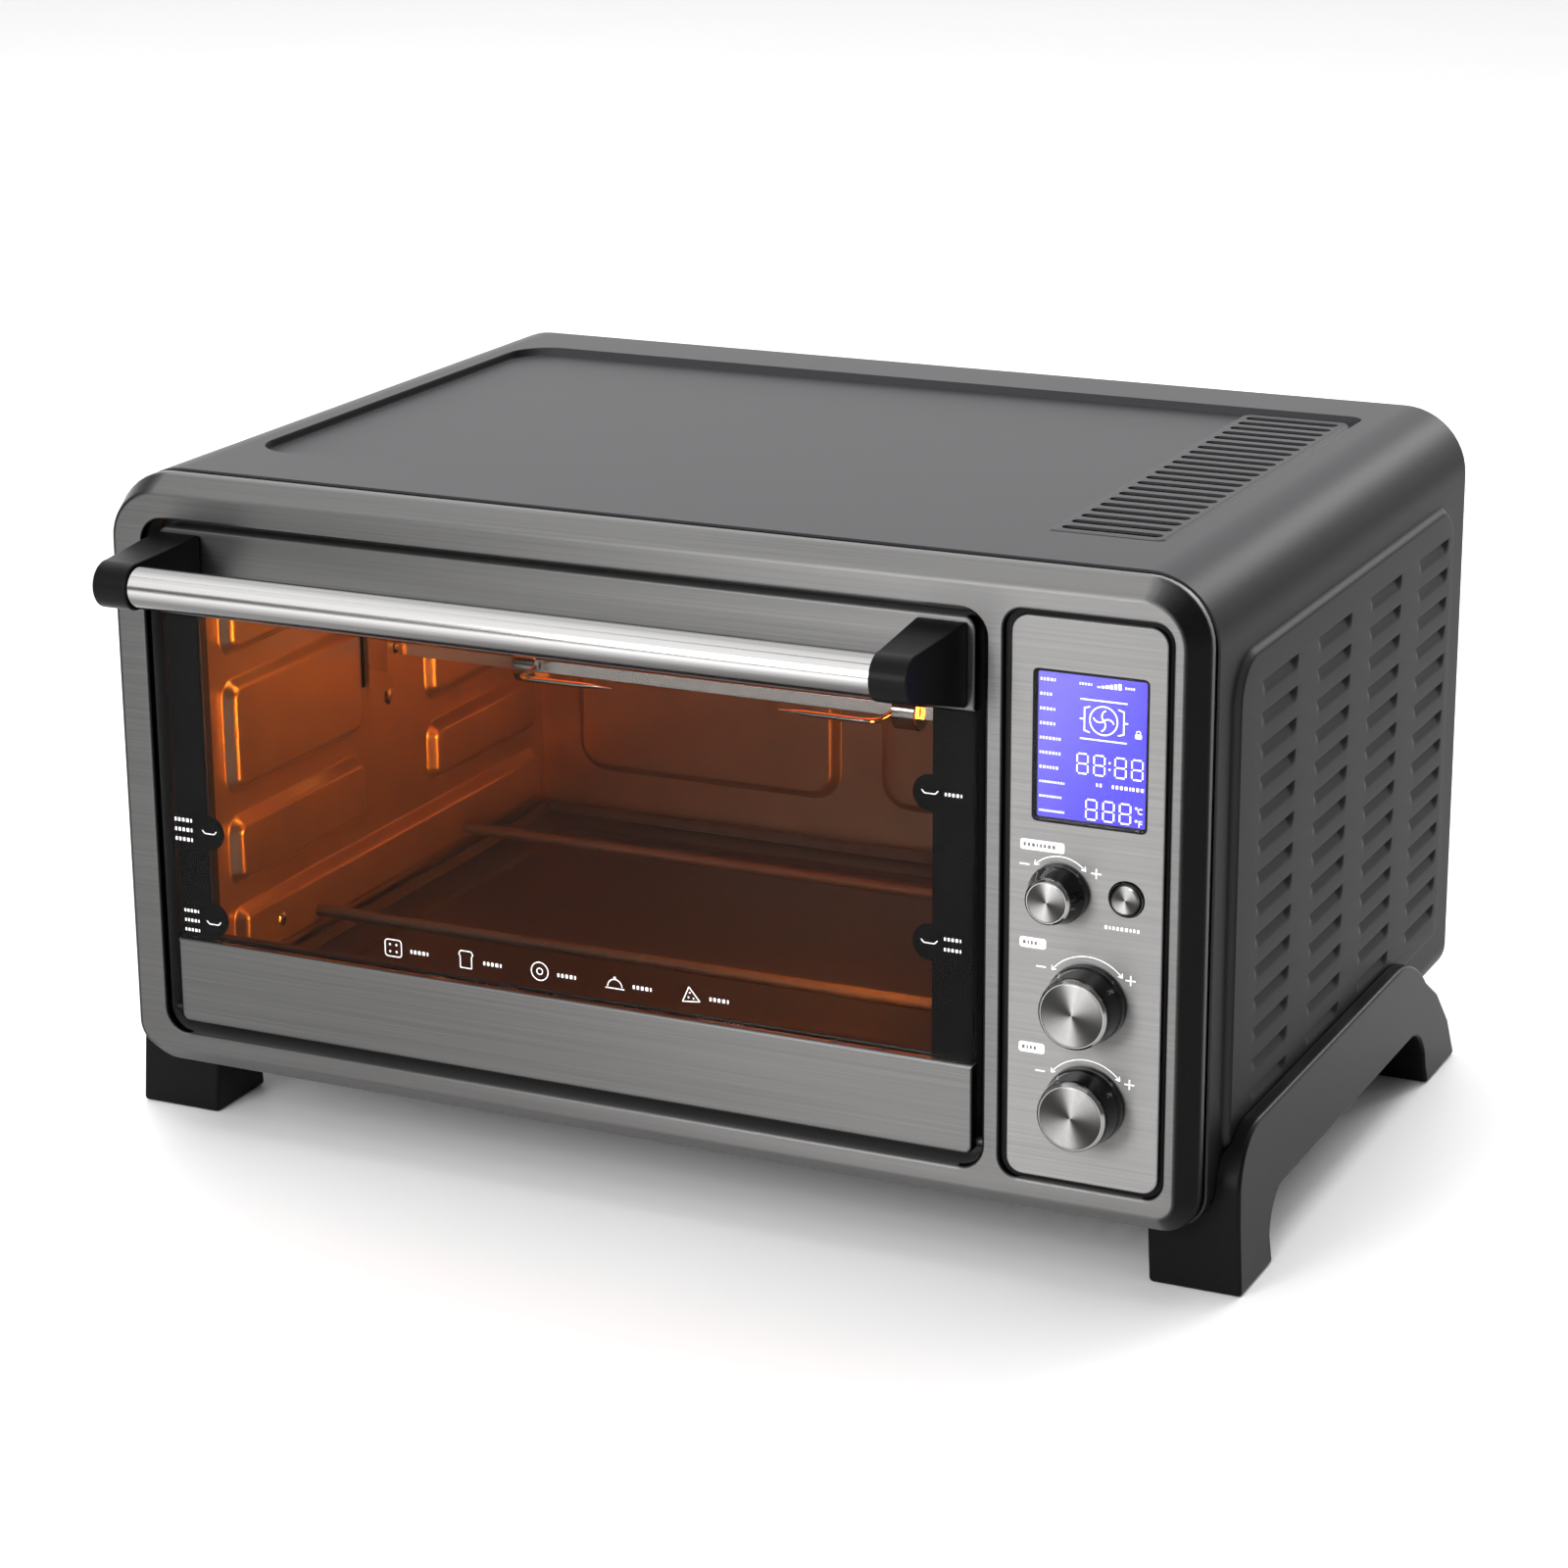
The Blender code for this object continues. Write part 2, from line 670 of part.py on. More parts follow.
def make_rotisserie():
    half = 0.0029
    rod_end, tip = CAVITY_LEFT + 0.0040, 0.010
    rod = piece(
        "spit_rod",
        box((rod_end + tip, -half, -half), (CAVITY_RIGHT + 0.0040, half, half)),
        BRIGHT,
        (0, SPIT_Y, SPIT_Z),
    )
    journal = cylinder((rod_end, 0, 0), (rod_end + tip + 0.002, 0, 0), 0.0024, "X", 16)
    cut(rod, journal, (0, SPIT_Y, SPIT_Z), "UNION")
    make_fork("spit_fork_left", -0.120, 1)
    make_fork("spit_fork_right", 0.050, -1)
    turned(
        "spit_drive_socket",
        [(0.0070, 0.016), (0.0070, -0.0070), (0.0045, -0.0070), (0.0045, 0.016)],
        "X",
        (CAVITY_RIGHT, SPIT_Y, SPIT_Z),
        BRIGHT,
        16,
    )
    support = piece(
        "spit_support",
        box(
            (CAVITY_LEFT + GAP, SPIT_Y - 0.010, SPIT_Z - 0.022),
            (CAVITY_LEFT + 0.0026, SPIT_Y + 0.010, SPIT_Z + 0.006),
        ),
        LINER,
    )
    arm = box(
        (CAVITY_LEFT + 0.0010, SPIT_Y - 0.008, SPIT_Z - 0.010),
        (CAVITY_LEFT + 0.0110, SPIT_Y + 0.008, SPIT_Z + 0.0045),
    )
    cut(support, arm, operation="UNION")
    notch = box((-0.02, -0.0029, -0.0029), (0.02, 0.0029, 0.03))
    cut(support, notch, (CAVITY_LEFT + 0.0226, SPIT_Y, SPIT_Z))
    motor = piece(
        "rotisserie_motor",
        box(
            (CAVITY_RIGHT + 0.017, SPIT_Y - 0.025, SPIT_Z - 0.024),
            (CAVITY_RIGHT + 0.040, SPIT_Y + 0.025, SPIT_Z + 0.024),
        ),
        PAINT,
    )
    spindle = cylinder(
        (CAVITY_RIGHT + 0.010, SPIT_Y, SPIT_Z),
        (CAVITY_RIGHT + 0.020, SPIT_Y, SPIT_Z),
        0.0041,
        "X",
        12,
    )
    cut(motor, spindle, operation="UNION")


def make_fan():
    x = CAVITY_RIGHT + 0.006
    width, blades, radius = 0.009, 6, 0.034
    hub = cylinder((x, FAN_Y, FAN_Z), (x + width + 0.003, FAN_Y, FAN_Z), 0.009, "X", 16)
    hub.transform(Matrix.Translation((0, -FAN_Y, -FAN_Z)))
    fan = piece("convection_fan", hub, BRIGHT, (0, FAN_Y, FAN_Z))
    for k in range(blades):
        blade = box_bm((x + 0.001, -0.0006, 0.006), (x + width, 0.0006, radius))
        lean = Matrix.Rotation(math.radians(18), 4, "Z")
        middle = Matrix.Translation((x + width / 2, 0, 0))
        blade.transform(middle @ lean @ middle.inverted())
        blade.transform(Matrix.Rotation(2 * math.pi * k / blades, 4, "X"))
        cut(fan, finish_mesh(blade), (0, FAN_Y, FAN_Z), "UNION")
    cut(fan, cylinder((x + 0.002, 0, 0), (x + 0.03, 0, 0), 0.0030, "X", 12), (0, FAN_Y, FAN_Z))
    motor = piece(
        "fan_motor",
        cylinder(
            (x + width + 0.008, FAN_Y, FAN_Z), (x + width + 0.038, FAN_Y, FAN_Z), 0.026, "X", 20
        ),
        PAINT,
    )
    shaft = cylinder(
        (x + 0.004, FAN_Y, FAN_Z), (x + width + 0.012, FAN_Y, FAN_Z), 0.0025, "X", 12
    )
    cut(motor, shaft, operation="UNION")


def make_probe_and_power():
    piece(
        "temperature_probe",
        cylinder(
            (CAVITY_RIGHT - 0.022, PROBE_Y, PROBE_Z),
            (CAVITY_RIGHT + 0.008, PROBE_Y, PROBE_Z),
            0.0020,
            "X",
            10,
        ),
        BRIGHT,
    )
    board = piece("power_board", box((0.150, 0.190, 0.044), (0.222, 0.302, 0.0456)), BOARD)
    for low, high in (
        ((0.156, 0.200, 0.045), (0.178, 0.222, 0.064)),
        ((0.186, 0.200, 0.045), (0.206, 0.228, 0.070)),
        ((0.160, 0.242, 0.045), (0.178, 0.280, 0.060)),
    ):
        cut(board, box(low, high), operation="UNION")


# ---------------------------------------------------------------- door
def door_extent(inset):
    return DOOR_LEFT + inset, DOOR_RIGHT - inset


def make_door():
    back = DOOR_FACE + STRIP_THICK
    top = piece(
        "door_top_strip",
        panel(
            (DOOR_LEFT, DOOR_FACE, DOOR_TOP - STRIP_HEIGHT),
            (DOOR_RIGHT, back, DOOR_TOP),
            0.0045,
            0.0,
            4,
        ),
        STEEL,
    )
    for x in bracket_centres():
        hole = cylinder((x, -0.01, HANDLE_Z - 0.003), (x, 0.02, HANDLE_Z - 0.003), 0.0022, "Y", 12)
        cut(top, hole)
    bottom = piece(
        "door_bottom_strip",
        side_outline_mesh(
            [(back, DOOR_BOTTOM), (back, DOOR_BOTTOM + STRIP_HEIGHT)]
            + [(DOOR_FACE, DOOR_BOTTOM + STRIP_HEIGHT)]
            + list(arc((DOOR_FACE + 0.002, DOOR_BOTTOM + 0.002), 0.002, 180, 270, 3)),
            DOOR_LEFT,
            DOOR_RIGHT,
        ),
        STEEL,
    )
    left, right = door_extent(0.0004)
    piece(
        "door_glass",
        panel(
            (left, DOOR_FACE + 0.0006, DOOR_BOTTOM + STRIP_HEIGHT + GAP),
            (right, DOOR_FACE + 0.0042, DOOR_TOP - STRIP_HEIGHT - GAP),
            0.0,
        ),
        GLASS,
    )
    left, right = door_extent(0.0006)
    frame = ring(
        "door_frame",
        (left, right, DOOR_BOTTOM + 0.0008, DOOR_TOP - 0.0008),
        (left + 0.0185, right - 0.0175, DOOR_BOTTOM + 0.0375, DOOR_TOP - 0.0375),
        back + GAP,
        DOOR_BACK,
        (0.0035, 0.0),
        BLACK,
    )
    reach = DOOR_GAP_X + SURROUND_WALL + 0.0046
    for side, name in ((-1, "left"), (1, "right")):
        end = left if side < 0 else right
        socket = cylinder(
            (end - 0.01, HINGE_Y, HINGE_Z), (end + 0.01, HINGE_Y, HINGE_Z), PIN_RADIUS + 0.0003, "X", 16
        )
        for target in (frame, bottom):
            cut(target, socket)
        outer = end + side * reach
        inner = end - side * 0.0090
        pin = cylinder(
            (min(outer, inner), HINGE_Y, HINGE_Z), (max(outer, inner), HINGE_Y, HINGE_Z),
            PIN_RADIUS, "X", 16,
        )
        piece(f"hinge_pin_{name}", pin, BRIGHT)
        make_hinge_bracket(name, side, outer)


def side_outline_mesh(points, x_low, x_high):
    return finish_mesh(side_outline(points, x_low, x_high))


def make_hinge_bracket(name, side, pin_end):
    """A block behind the steel front that the hinge pin turns in."""
    low, high = sorted((pin_end - side * 0.0037, pin_end + side * 0.0004))
    bracket = piece(
        f"hinge_bracket_{name}",
        box((low, 0.0028, HINGE_Z - 0.008), (high, 0.0136, HINGE_Z + 0.012)),
        BRIGHT,
    )
    bore = cylinder(
        (low - 0.005, HINGE_Y, HINGE_Z), (high + 0.005, HINGE_Y, HINGE_Z), PIN_RADIUS + 0.0002, "X", 16
    )
    cut(bracket, bore)


def bracket_centres():
    half = BRACKET_WIDTH / 2 + BRACKET_INSET
    return DOOR_LEFT + half, DOOR_RIGHT - 0.0028 - half


def bracket_outline():
    """Side view of a handle bracket: a wedge from the door to a round nose."""
    nose = list(arc((HANDLE_Y, HANDLE_Z), BRACKET_RADIUS, 84, 285, 10))
    return [(DOOR_FACE - GAP, BRACKET_TOP)] + nose + [(DOOR_FACE - GAP, BRACKET_FOOT)]


def make_handle():
    left, right = bracket_centres()
    for centre, side, name in ((left, 1, "left"), (right, -1, "right")):
        half = BRACKET_WIDTH / 2
        bm = side_outline(bracket_outline(), centre - half, centre + half)
        for vert in bm.verts:
            slim = BRACKET_TAPER * min(1.0, (DOOR_FACE - vert.co.y) / (DOOR_FACE - HANDLE_Y))
            vert.co.x += slim if vert.co.x < centre else -slim
        bracket = piece(f"handle_bracket_{name}", finish_mesh(bm), BLACK)
        end = centre + side * 0.0005
        beyond = centre + side * 0.02
        socket = cylinder(
            (min(end, beyond), HANDLE_Y, HANDLE_Z), (max(end, beyond), HANDLE_Y, HANDLE_Z),
            HANDLE_RADIUS + 0.0003, "X", 24,
        )
        cut(bracket, socket)
    start, end = left + 0.0009, right - 0.0009
    length = end - start
    turned(
        "handle_tube",
        [(HANDLE_RADIUS - 0.0012, length), (HANDLE_RADIUS, length), (HANDLE_RADIUS, 0)]
        + [(HANDLE_RADIUS - 0.0012, 0)],
        "X",
        (start, HANDLE_Y, HANDLE_Z),
        BRIGHT,
        24,
    )


# ---------------------------------------------------------------- controls
def make_control_panel():
    left, right = GROOVE_LEFT + GROOVE, GROOVE_RIGHT - GROOVE
    low, high = GROOVE_BOTTOM + GROOVE, GROOVE_TOP - GROOVE
    plate = piece(
        "control_panel_plate",
        panel((left, 0, low), (right, 0.0024, high), 0.0065, None, 5),
        STEEL,
    )
    housing = piece(
        "control_housing",
        panel(
            (GROOVE_LEFT - 0.002, 0.0027, GROOVE_BOTTOM - 0.0035),
            (GROOVE_RIGHT + 0.003, 0.0240, GROOVE_TOP + 0.0035),
            0.008,
            None,
            4,
        ),
        BLACK,
    )
    cut(
        housing,
        box(
            (GROOVE_LEFT, 0.0050, GROOVE_BOTTOM - 0.0015),
            (GROOVE_RIGHT + 0.0010, 0.03, GROOVE_TOP + 0.0015),
        ),
    )
    x0, x1, z0, z1 = LENS
    window = panel((x0, -0.01, z0), (x1, 0.01, z1), 0.0025, None, 3)
    cut(plate, window)
    cut(housing, box((x0 + 0.0005, -0.01, z0 + 0.0005), (x1 - 0.0005, 0.01, z1 - 0.0005)))
    piece(
        "display_lens",
        panel((x0 + GAP, 0.0001, z0 + GAP), (x1 - GAP, 0.0013, z1 - GAP), 0.0022, None, 3),
        GLOSS,
    )
    piece(
        "display_module",
        box((x0 + 0.0012, 0.0016, z0 + 0.0012), (x1 - 0.0012, 0.0150, z1 - 0.0012)),
        GLOSS,
    )
    holes = [(x, z, 0.0036) for x, z in dial_places().values()]
    holes.append((BUTTON_X, BUTTON_Z, 0.0072))
    for x, z, radius in holes:
        for target in (plate, housing):
            cut(target, cylinder((x, -0.01, z), (x, 0.01, z), radius, "Y", 20))
    piece(
        "control_board",
        box((left + 0.001, 0.0160, low), (right - 0.001, 0.0176, high - 0.002)),
        BOARD,
    )


def dial_places():
    return {
        "function": (FUNCTION_X, FUNCTION_Z),
        "temperature": (DIAL_X, TEMPERATURE_Z),
        "time": (DIAL_X, TIME_Z),
    }


def make_dials():
    sizes = {"function": (0.0117, 0.0088, 0.0140), "temperature": (0.0155, 0.0136, 0.0165)}
    sizes["time"] = sizes["temperature"]
    stem_radius, stem_end = 0.0030, 0.0112
    for name, (x, z) in dial_places().items():
        base, face, height = sizes[name]
        flare = base - 0.0008
        profile = [
            (0, height - 0.0012),
            (face - 0.0006, height - 0.0012),
            (face - 0.0006, height),
            (face, height),
            (flare - 0.0006, 0.0045),
            (base, 0.0006),
            (stem_radius, 0.0006),
            (stem_radius, -stem_end),
            (0, -stem_end),
        ]
        turned(f"{name}_knob", profile, "Y", (x, 0, z), GLOSS, 32)
        cap = [
            (0, height - 0.0001),
            (face - 0.0011, height - 0.0001),
            (face - 0.0009, height - 0.0009),
            (0, height - 0.0009),
        ]
        turned(f"{name}_knob_cap", cap, "Y", (x, 0, z), BRIGHT, 32)
        size = 0.0060
        body = piece(
            f"{name}_encoder",
            box((x - size, 0.0062, z - size), (x + size, 0.0157, z + size)),
            PAINT,
        )
        cut(body, cylinder((x, 0.0, z), (x, 0.0118, z), stem_radius + 0.0002, "Y", 16))


def make_button():
    turned(
        "button_ring",
        [(0.0061, 0.0008), (0.0068, 0.0008), (0.0068, -0.0034), (0.0061, -0.0034)],
        "Y",
        (BUTTON_X, 0, BUTTON_Z),
        BLACK,
        28,
    )
    turned(
        "start_stop_button",
        [(0, 0.0021), (0.0050, 0.0021), (0.0058, 0.0015), (0.0058, -0.0060), (0.0025, -0.0060)]
        + [(0.0025, -0.0135), (0, -0.0135)],
        "Y",
        (BUTTON_X, 0, BUTTON_Z),
        BRIGHT,
        28,
    )


make_cover()
make_bezel()
make_rear_and_base()
make_feet()
make_door_surround()
make_front_frame()
make_cavity()
make_heaters()
make_rotisserie()
make_fan()
make_probe_and_power()
make_door()
make_handle()
make_control_panel()
make_dials()
make_button()
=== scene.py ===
"""The looks of a counter-top toaster oven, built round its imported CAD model.

Lengths are metres. Pieces are modelled with Y = 0 at the steel front's face and with
X and Z as in the frame; as_object moves each one along Y to where the frame is.
"""

import json
import math
from collections import namedtuple

import bmesh
import bpy
from mathutils import Matrix, Vector
from mathutils.geometry import delaunay_2d_cdt


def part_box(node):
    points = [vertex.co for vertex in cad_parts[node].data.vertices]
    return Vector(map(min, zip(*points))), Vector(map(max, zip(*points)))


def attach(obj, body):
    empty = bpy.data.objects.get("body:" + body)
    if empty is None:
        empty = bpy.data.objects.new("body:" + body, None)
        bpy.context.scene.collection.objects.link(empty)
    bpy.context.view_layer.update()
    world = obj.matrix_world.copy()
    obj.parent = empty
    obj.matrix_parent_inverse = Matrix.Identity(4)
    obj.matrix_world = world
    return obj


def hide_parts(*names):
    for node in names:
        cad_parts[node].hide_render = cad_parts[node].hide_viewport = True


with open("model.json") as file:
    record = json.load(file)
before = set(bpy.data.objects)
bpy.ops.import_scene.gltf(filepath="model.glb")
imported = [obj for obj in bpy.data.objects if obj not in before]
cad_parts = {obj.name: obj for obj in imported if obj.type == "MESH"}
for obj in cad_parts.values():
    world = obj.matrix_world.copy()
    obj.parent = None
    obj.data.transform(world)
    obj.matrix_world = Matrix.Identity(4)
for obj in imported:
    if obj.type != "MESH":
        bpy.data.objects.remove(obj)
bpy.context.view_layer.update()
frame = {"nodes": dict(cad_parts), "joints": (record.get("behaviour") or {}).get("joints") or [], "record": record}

FRONT_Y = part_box("front_bezel")[0].y
Span = namedtuple("Span", "left right front back low high")


def span(node):
    """A CAD node's extent, with Y counted from the steel front's face."""
    low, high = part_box(node)
    return Span(low.x, high.x, low.y - FRONT_Y, high.y - FRONT_Y, low.z, high.z)


def middle_of(box, axes):
    """The middle of a span along some of its axes, such as "xz"."""
    ends = {"x": (box.left, box.right), "y": (box.front, box.back), "z": (box.low, box.high)}
    return [(ends[axis][0] + ends[axis][1]) / 2 for axis in axes]


def joint_place(name):
    """The point on a joint's axis, with Y counted from the steel front's face."""
    found = next(joint for joint in frame["joints"] if joint["name"] == name)
    x, y, z = found["pos_m"]
    return Vector((x, y - FRONT_Y, z))


# ---------------------------------------------------------------- materials
SPECULAR, GLOW, GLOW_COLOUR = "Specular IOR Level", "Emission Strength", "Emission Color"


def add_node(made, kind, inputs, **settings):
    """Adds a shader node; each input gets a value, or a link from the socket it is given."""
    tree = made.node_tree
    node = tree.nodes.new(f"ShaderNode{kind}")
    for name, value in settings.items():
        setattr(node, name, value)
    for key, value in inputs.items():
        if isinstance(value, bpy.types.NodeSocket):
            tree.links.new(value, node.inputs[key])
        else:
            node.inputs[key].default_value = value
    return node


def coordinates(made, kind):
    return add_node(made, "TexCoord", {}).outputs[kind]


def add_ramp(made, factor, stops, interpolation="LINEAR"):
    node = add_node(made, "ValToRGB", {"Fac": factor})
    ramp = node.color_ramp
    ramp.interpolation = interpolation
    while len(ramp.elements) < len(stops):
        ramp.elements.new(0.5)
    for element, (place, colour) in zip(ramp.elements, stops):
        element.position = place
        element.color = (*colour, 1)
    return node.outputs["Color"]


def connect(made, socket, source):
    tree = made.node_tree
    tree.links.new(source, tree.nodes["Principled BSDF"].inputs[socket])


def new_material(name, colour, roughness, metallic=0.0, more=()):
    made = bpy.data.materials.new(name)
    made.use_nodes = True
    shader = made.node_tree.nodes["Principled BSDF"]
    values = {"Base Color": (*colour, 1), "Roughness": roughness, "Metallic": metallic}
    for socket, value in {**values, **dict(more)}.items():
        shader.inputs[socket].default_value = value
    return made


def grain(made, scale, colour_swing, rough_swing, bump, detail=3.0, depth=0.00002):
    """Streaks or speckle in a material's colour, gloss and surface.

    scale is per metre: one number, or one each for X, Y and Z.
    """
    scale = scale if isinstance(scale, tuple) else (scale,) * 3
    shader = made.node_tree.nodes["Principled BSDF"]
    where = coordinates(made, "Object")
    stretch = add_node(made, "Mapping", {"Vector": where, "Scale": scale}).outputs["Vector"]
    noise = add_node(made, "TexNoise", {"Vector": stretch, "Scale": 1.0, "Detail": detail})
    streaks = noise.outputs["Fac"]
    colour = shader.inputs["Base Color"].default_value[:3]
    ends = [[max(0.0, c * (1 + sign * colour_swing)) for c in colour] for sign in (-1, 1)]
    connect(made, "Base Color", add_ramp(made, streaks, list(zip((0.3, 0.7), ends))))
    base = shader.inputs["Roughness"].default_value
    low, high = max(0.02, base - rough_swing), base + rough_swing
    spread = add_node(made, "MapRange", {"Value": streaks, "To Min": low, "To Max": high})
    connect(made, "Roughness", spread.outputs["Result"])
    relief = add_node(made, "Bump", {"Height": streaks, "Strength": bump, "Distance": depth})
    connect(made, "Normal", relief.outputs["Normal"])
    return made


def tangent_round(made, axis):
    """Stretches a spun metal's highlights outwards, across rings turned round an axis."""
    turn = add_node(made, "Tangent", {}, direction_type="RADIAL", axis=axis)
    made.node_tree.nodes["Principled BSDF"].inputs["Anisotropic Rotation"].default_value = 0.25
    connect(made, "Tangent", turn.outputs["Tangent"])
    return made


def tangent_across(made):
    """Stretches a brushed metal's highlights upright, across brushing from side to side."""
    connect(made, "Tangent", add_node(made, "CombineXYZ", {"Z": 1.0}).outputs["Vector"])
    return made


def scale_colour(made, factor):
    """Multiplies a material's colour by a node's output."""
    base = made.node_tree.nodes["Principled BSDF"].inputs["Base Color"].links[0].from_socket
    shade = add_node(made, "VectorMath", {"Vector": base, "Scale": factor}, operation="SCALE")
    connect(made, "Base Color", shade.outputs["Vector"])
    return made


def paint_shade_by_facing(made, axis, stops):
    """Paints light and shade into a material's colour, scaled by where the piece faces along an axis, from -1 to
    1.
    """
    parts = add_node(made, "SeparateXYZ", {"Vector": coordinates(made, "Normal")})
    share = add_node(made, "MapRange", {"Value": parts.outputs[axis], "From Min": -1.0})
    shades = [((facing + 1) / 2, (scale,) * 3) for facing, scale in stops]
    return scale_colour(made, add_ramp(made, share.outputs["Result"], shades))


def mirrored(stops):
    """Stops for facing either way along an axis, from those for 0 to 1."""
    return [(-facing, scale) for facing, scale in stops[::-1]] + stops


def paint_shade_by_height(made, low, high):
    """Paints light and shade into a material's colour, scaled from the piece's bottom to its top."""
    parts = add_node(made, "SeparateXYZ", {"Vector": coordinates(made, "Generated")})
    fade = {"Value": parts.outputs["Z"], "To Min": low, "To Max": high}
    return scale_colour(made, add_node(made, "MapRange", fade).outputs["Result"])


def paint_fan_highlights(made, towards, least, most, narrowness):
    """Two painted highlights on a disc that faces the front, pale wedges opposite each other, with painted shade
    between.
    """

    def vector_math(operation, first, *second):
        inputs = {0: first, **dict(enumerate(second, 1))}
        return add_node(made, "VectorMath", inputs, operation=operation).outputs

    centred = vector_math("SUBTRACT", coordinates(made, "Generated"), (0.5, 0.5, 0.5))["Vector"]
    flat = vector_math("MULTIPLY", centred, (1, 0, 1))["Vector"]
    along = vector_math("DOT_PRODUCT", vector_math("NORMALIZE", flat)["Vector"], towards)["Value"]
    either = add_node(made, "Math", {0: along}, operation="ABSOLUTE").outputs["Value"]
    tight = add_node(made, "Math", {0: either, 1: narrowness}, operation="POWER").outputs["Value"]
    fade = add_node(made, "MapRange", {"Value": tight, "To Min": least, "To Max": most})
    return scale_colour(made, fade.outputs["Result"])


def brushed(name, colour, roughness, anisotropy, *pattern):
    made = new_material(name, colour, roughness, 1.0, {"Anisotropic": anisotropy})
    return tangent_across(grain(made, *pattern))


FRONT_BRUSHING = ((7, 1100, 1100), 0.10, 0.05, 0.22)


def front_steel():
    """Dark stainless sheet, with shade painted into its colour where its edges turn to the sides, nearly black
    there.
    """
    made = brushed("black_stainless", (0.127, 0.125, 0.124), 0.42, 0.85, *FRONT_BRUSHING)
    # Painted shade: the colour falls to near black as the surface turns to face the sides.
    side = [(0.03, 1.0), (0.20, 0.42), (0.50, 0.17), (0.72, 0.11), (1.0, 0.11)]
    return paint_shade_by_facing(made, "X", mirrored(side))


def panel_steel():
    """The control plate's own sheet, a shade paler than the front round it: a lighter copy of the front's steel
    that paints more light on it.
    """
    made = brushed("panel_stainless", (0.150, 0.148, 0.146), 0.42, 0.85, *FRONT_BRUSHING)
    # Painted light: brighter towards the bottom than at the top.
    return paint_shade_by_height(made, 1.38, 0.95)


def handle_steel():
    pattern = ((6, 1500, 1500), 0.05, 0.05, 0.12)
    made = brushed("handle_steel", (0.46, 0.455, 0.45), 0.17, 0.3, *pattern)
    # Painted shade: darker where the tube faces down and over its top, full colour between.
    stops = [(-1.0, 0.36), (-0.42, 0.36), (-0.02, 1.0), (0.70, 1.0), (0.92, 0.28), (1.0, 0.28)]
    return paint_shade_by_facing(made, "Z", stops)


def spun_steel():
    """Fine rings turned into a disc, whose stretched reflections give part of its fan-shaped highlights; the rest
    are painted into its colour.
    """
    made = new_material("spun_steel", (0.30, 0.295, 0.29), 0.30, 1.0, {"Anisotropic": 0.95})
    spun = tangent_round(grain(made, 700, 0.03, 0.03, 0.05), "Y")
    # Painted highlights: two pale wedges in the colour, darker between.
    return paint_fan_highlights(spun, (0.5, 0.0, 0.866), 0.12, 1.35, 3.0)


def grey_paint():
    """Satin metallic paint with a very fine flake, with shade painted into its colour where it faces the sides."""
    made = new_material("grey_metallic_paint", (0.047, 0.047, 0.050), 0.38, 0.0, {SPECULAR: 0.03})
    flaked = grain(made, 2600, 0.10, 0.03, 0.10, 2.0, 0.00001)
    # Painted shade: darker where the cover faces the sides.
    return paint_shade_by_facing(flaked, "X", mirrored([(0.55, 1.0), (0.95, 0.22), (1.0, 0.22)]))


def backlight():
    """The display's blue light, paler towards its upper left corner."""
    made = new_material("display_backlight", (0.02, 0.02, 0.06), 0.25, 0.0, {GLOW: 1.0})
    corner = (-0.75, 0.0, 0.65)
    where = {0: coordinates(made, "Generated"), 1: corner}
    slope = add_node(made, "VectorMath", where, operation="DOT_PRODUCT").outputs["Value"]
    ends = {"Value": slope, "From Min": corner[0], "From Max": corner[2]}
    spread = add_node(made, "MapRange", ends).outputs["Result"]
    blues = [(0.15, (0.050, 0.022, 0.95)), (1.0, (0.20, 0.155, 0.97))]
    connect(made, GLOW_COLOUR, add_ramp(made, spread, blues, "EASE"))
    return made


def clear_glass(name, tint, gloss, bending):
    """A thin pane: what is behind shows straight through, under a clear reflection."""
    made = bpy.data.materials.new(name)
    made.use_nodes = True
    nodes, links = made.node_tree.nodes, made.node_tree.links
    nodes.remove(nodes["Principled BSDF"])
    through = add_node(made, "BsdfTransparent", {"Color": (*tint, 1)})
    waves = add_node(made, "TexNoise", {"Scale": 4.0}).outputs["Fac"]
    ripple = add_node(made, "Bump", {"Height": waves, "Strength": 0.02, "Distance": 0.0005})
    mirror = {"Roughness": gloss, "Normal": ripple.outputs["Normal"]}
    shaders = {
        "Fac": add_node(made, "Fresnel", {"IOR": bending}).outputs["Fac"],
        1: through.outputs["BSDF"],
        2: add_node(made, "BsdfGlossy", mirror).outputs["BSDF"],
    }
    mix = add_node(made, "MixShader", shaders)
    links.new(mix.outputs["Shader"], nodes["Material Output"].inputs["Surface"])
    return made


BLACK_PLASTIC = (
    "black_plastic", (0.0055, 0.0055, 0.006), 0.34, 0.0, (1500, 0.15, 0.05, 0.15, 2.0),
    {SPECULAR: 0.06},
)
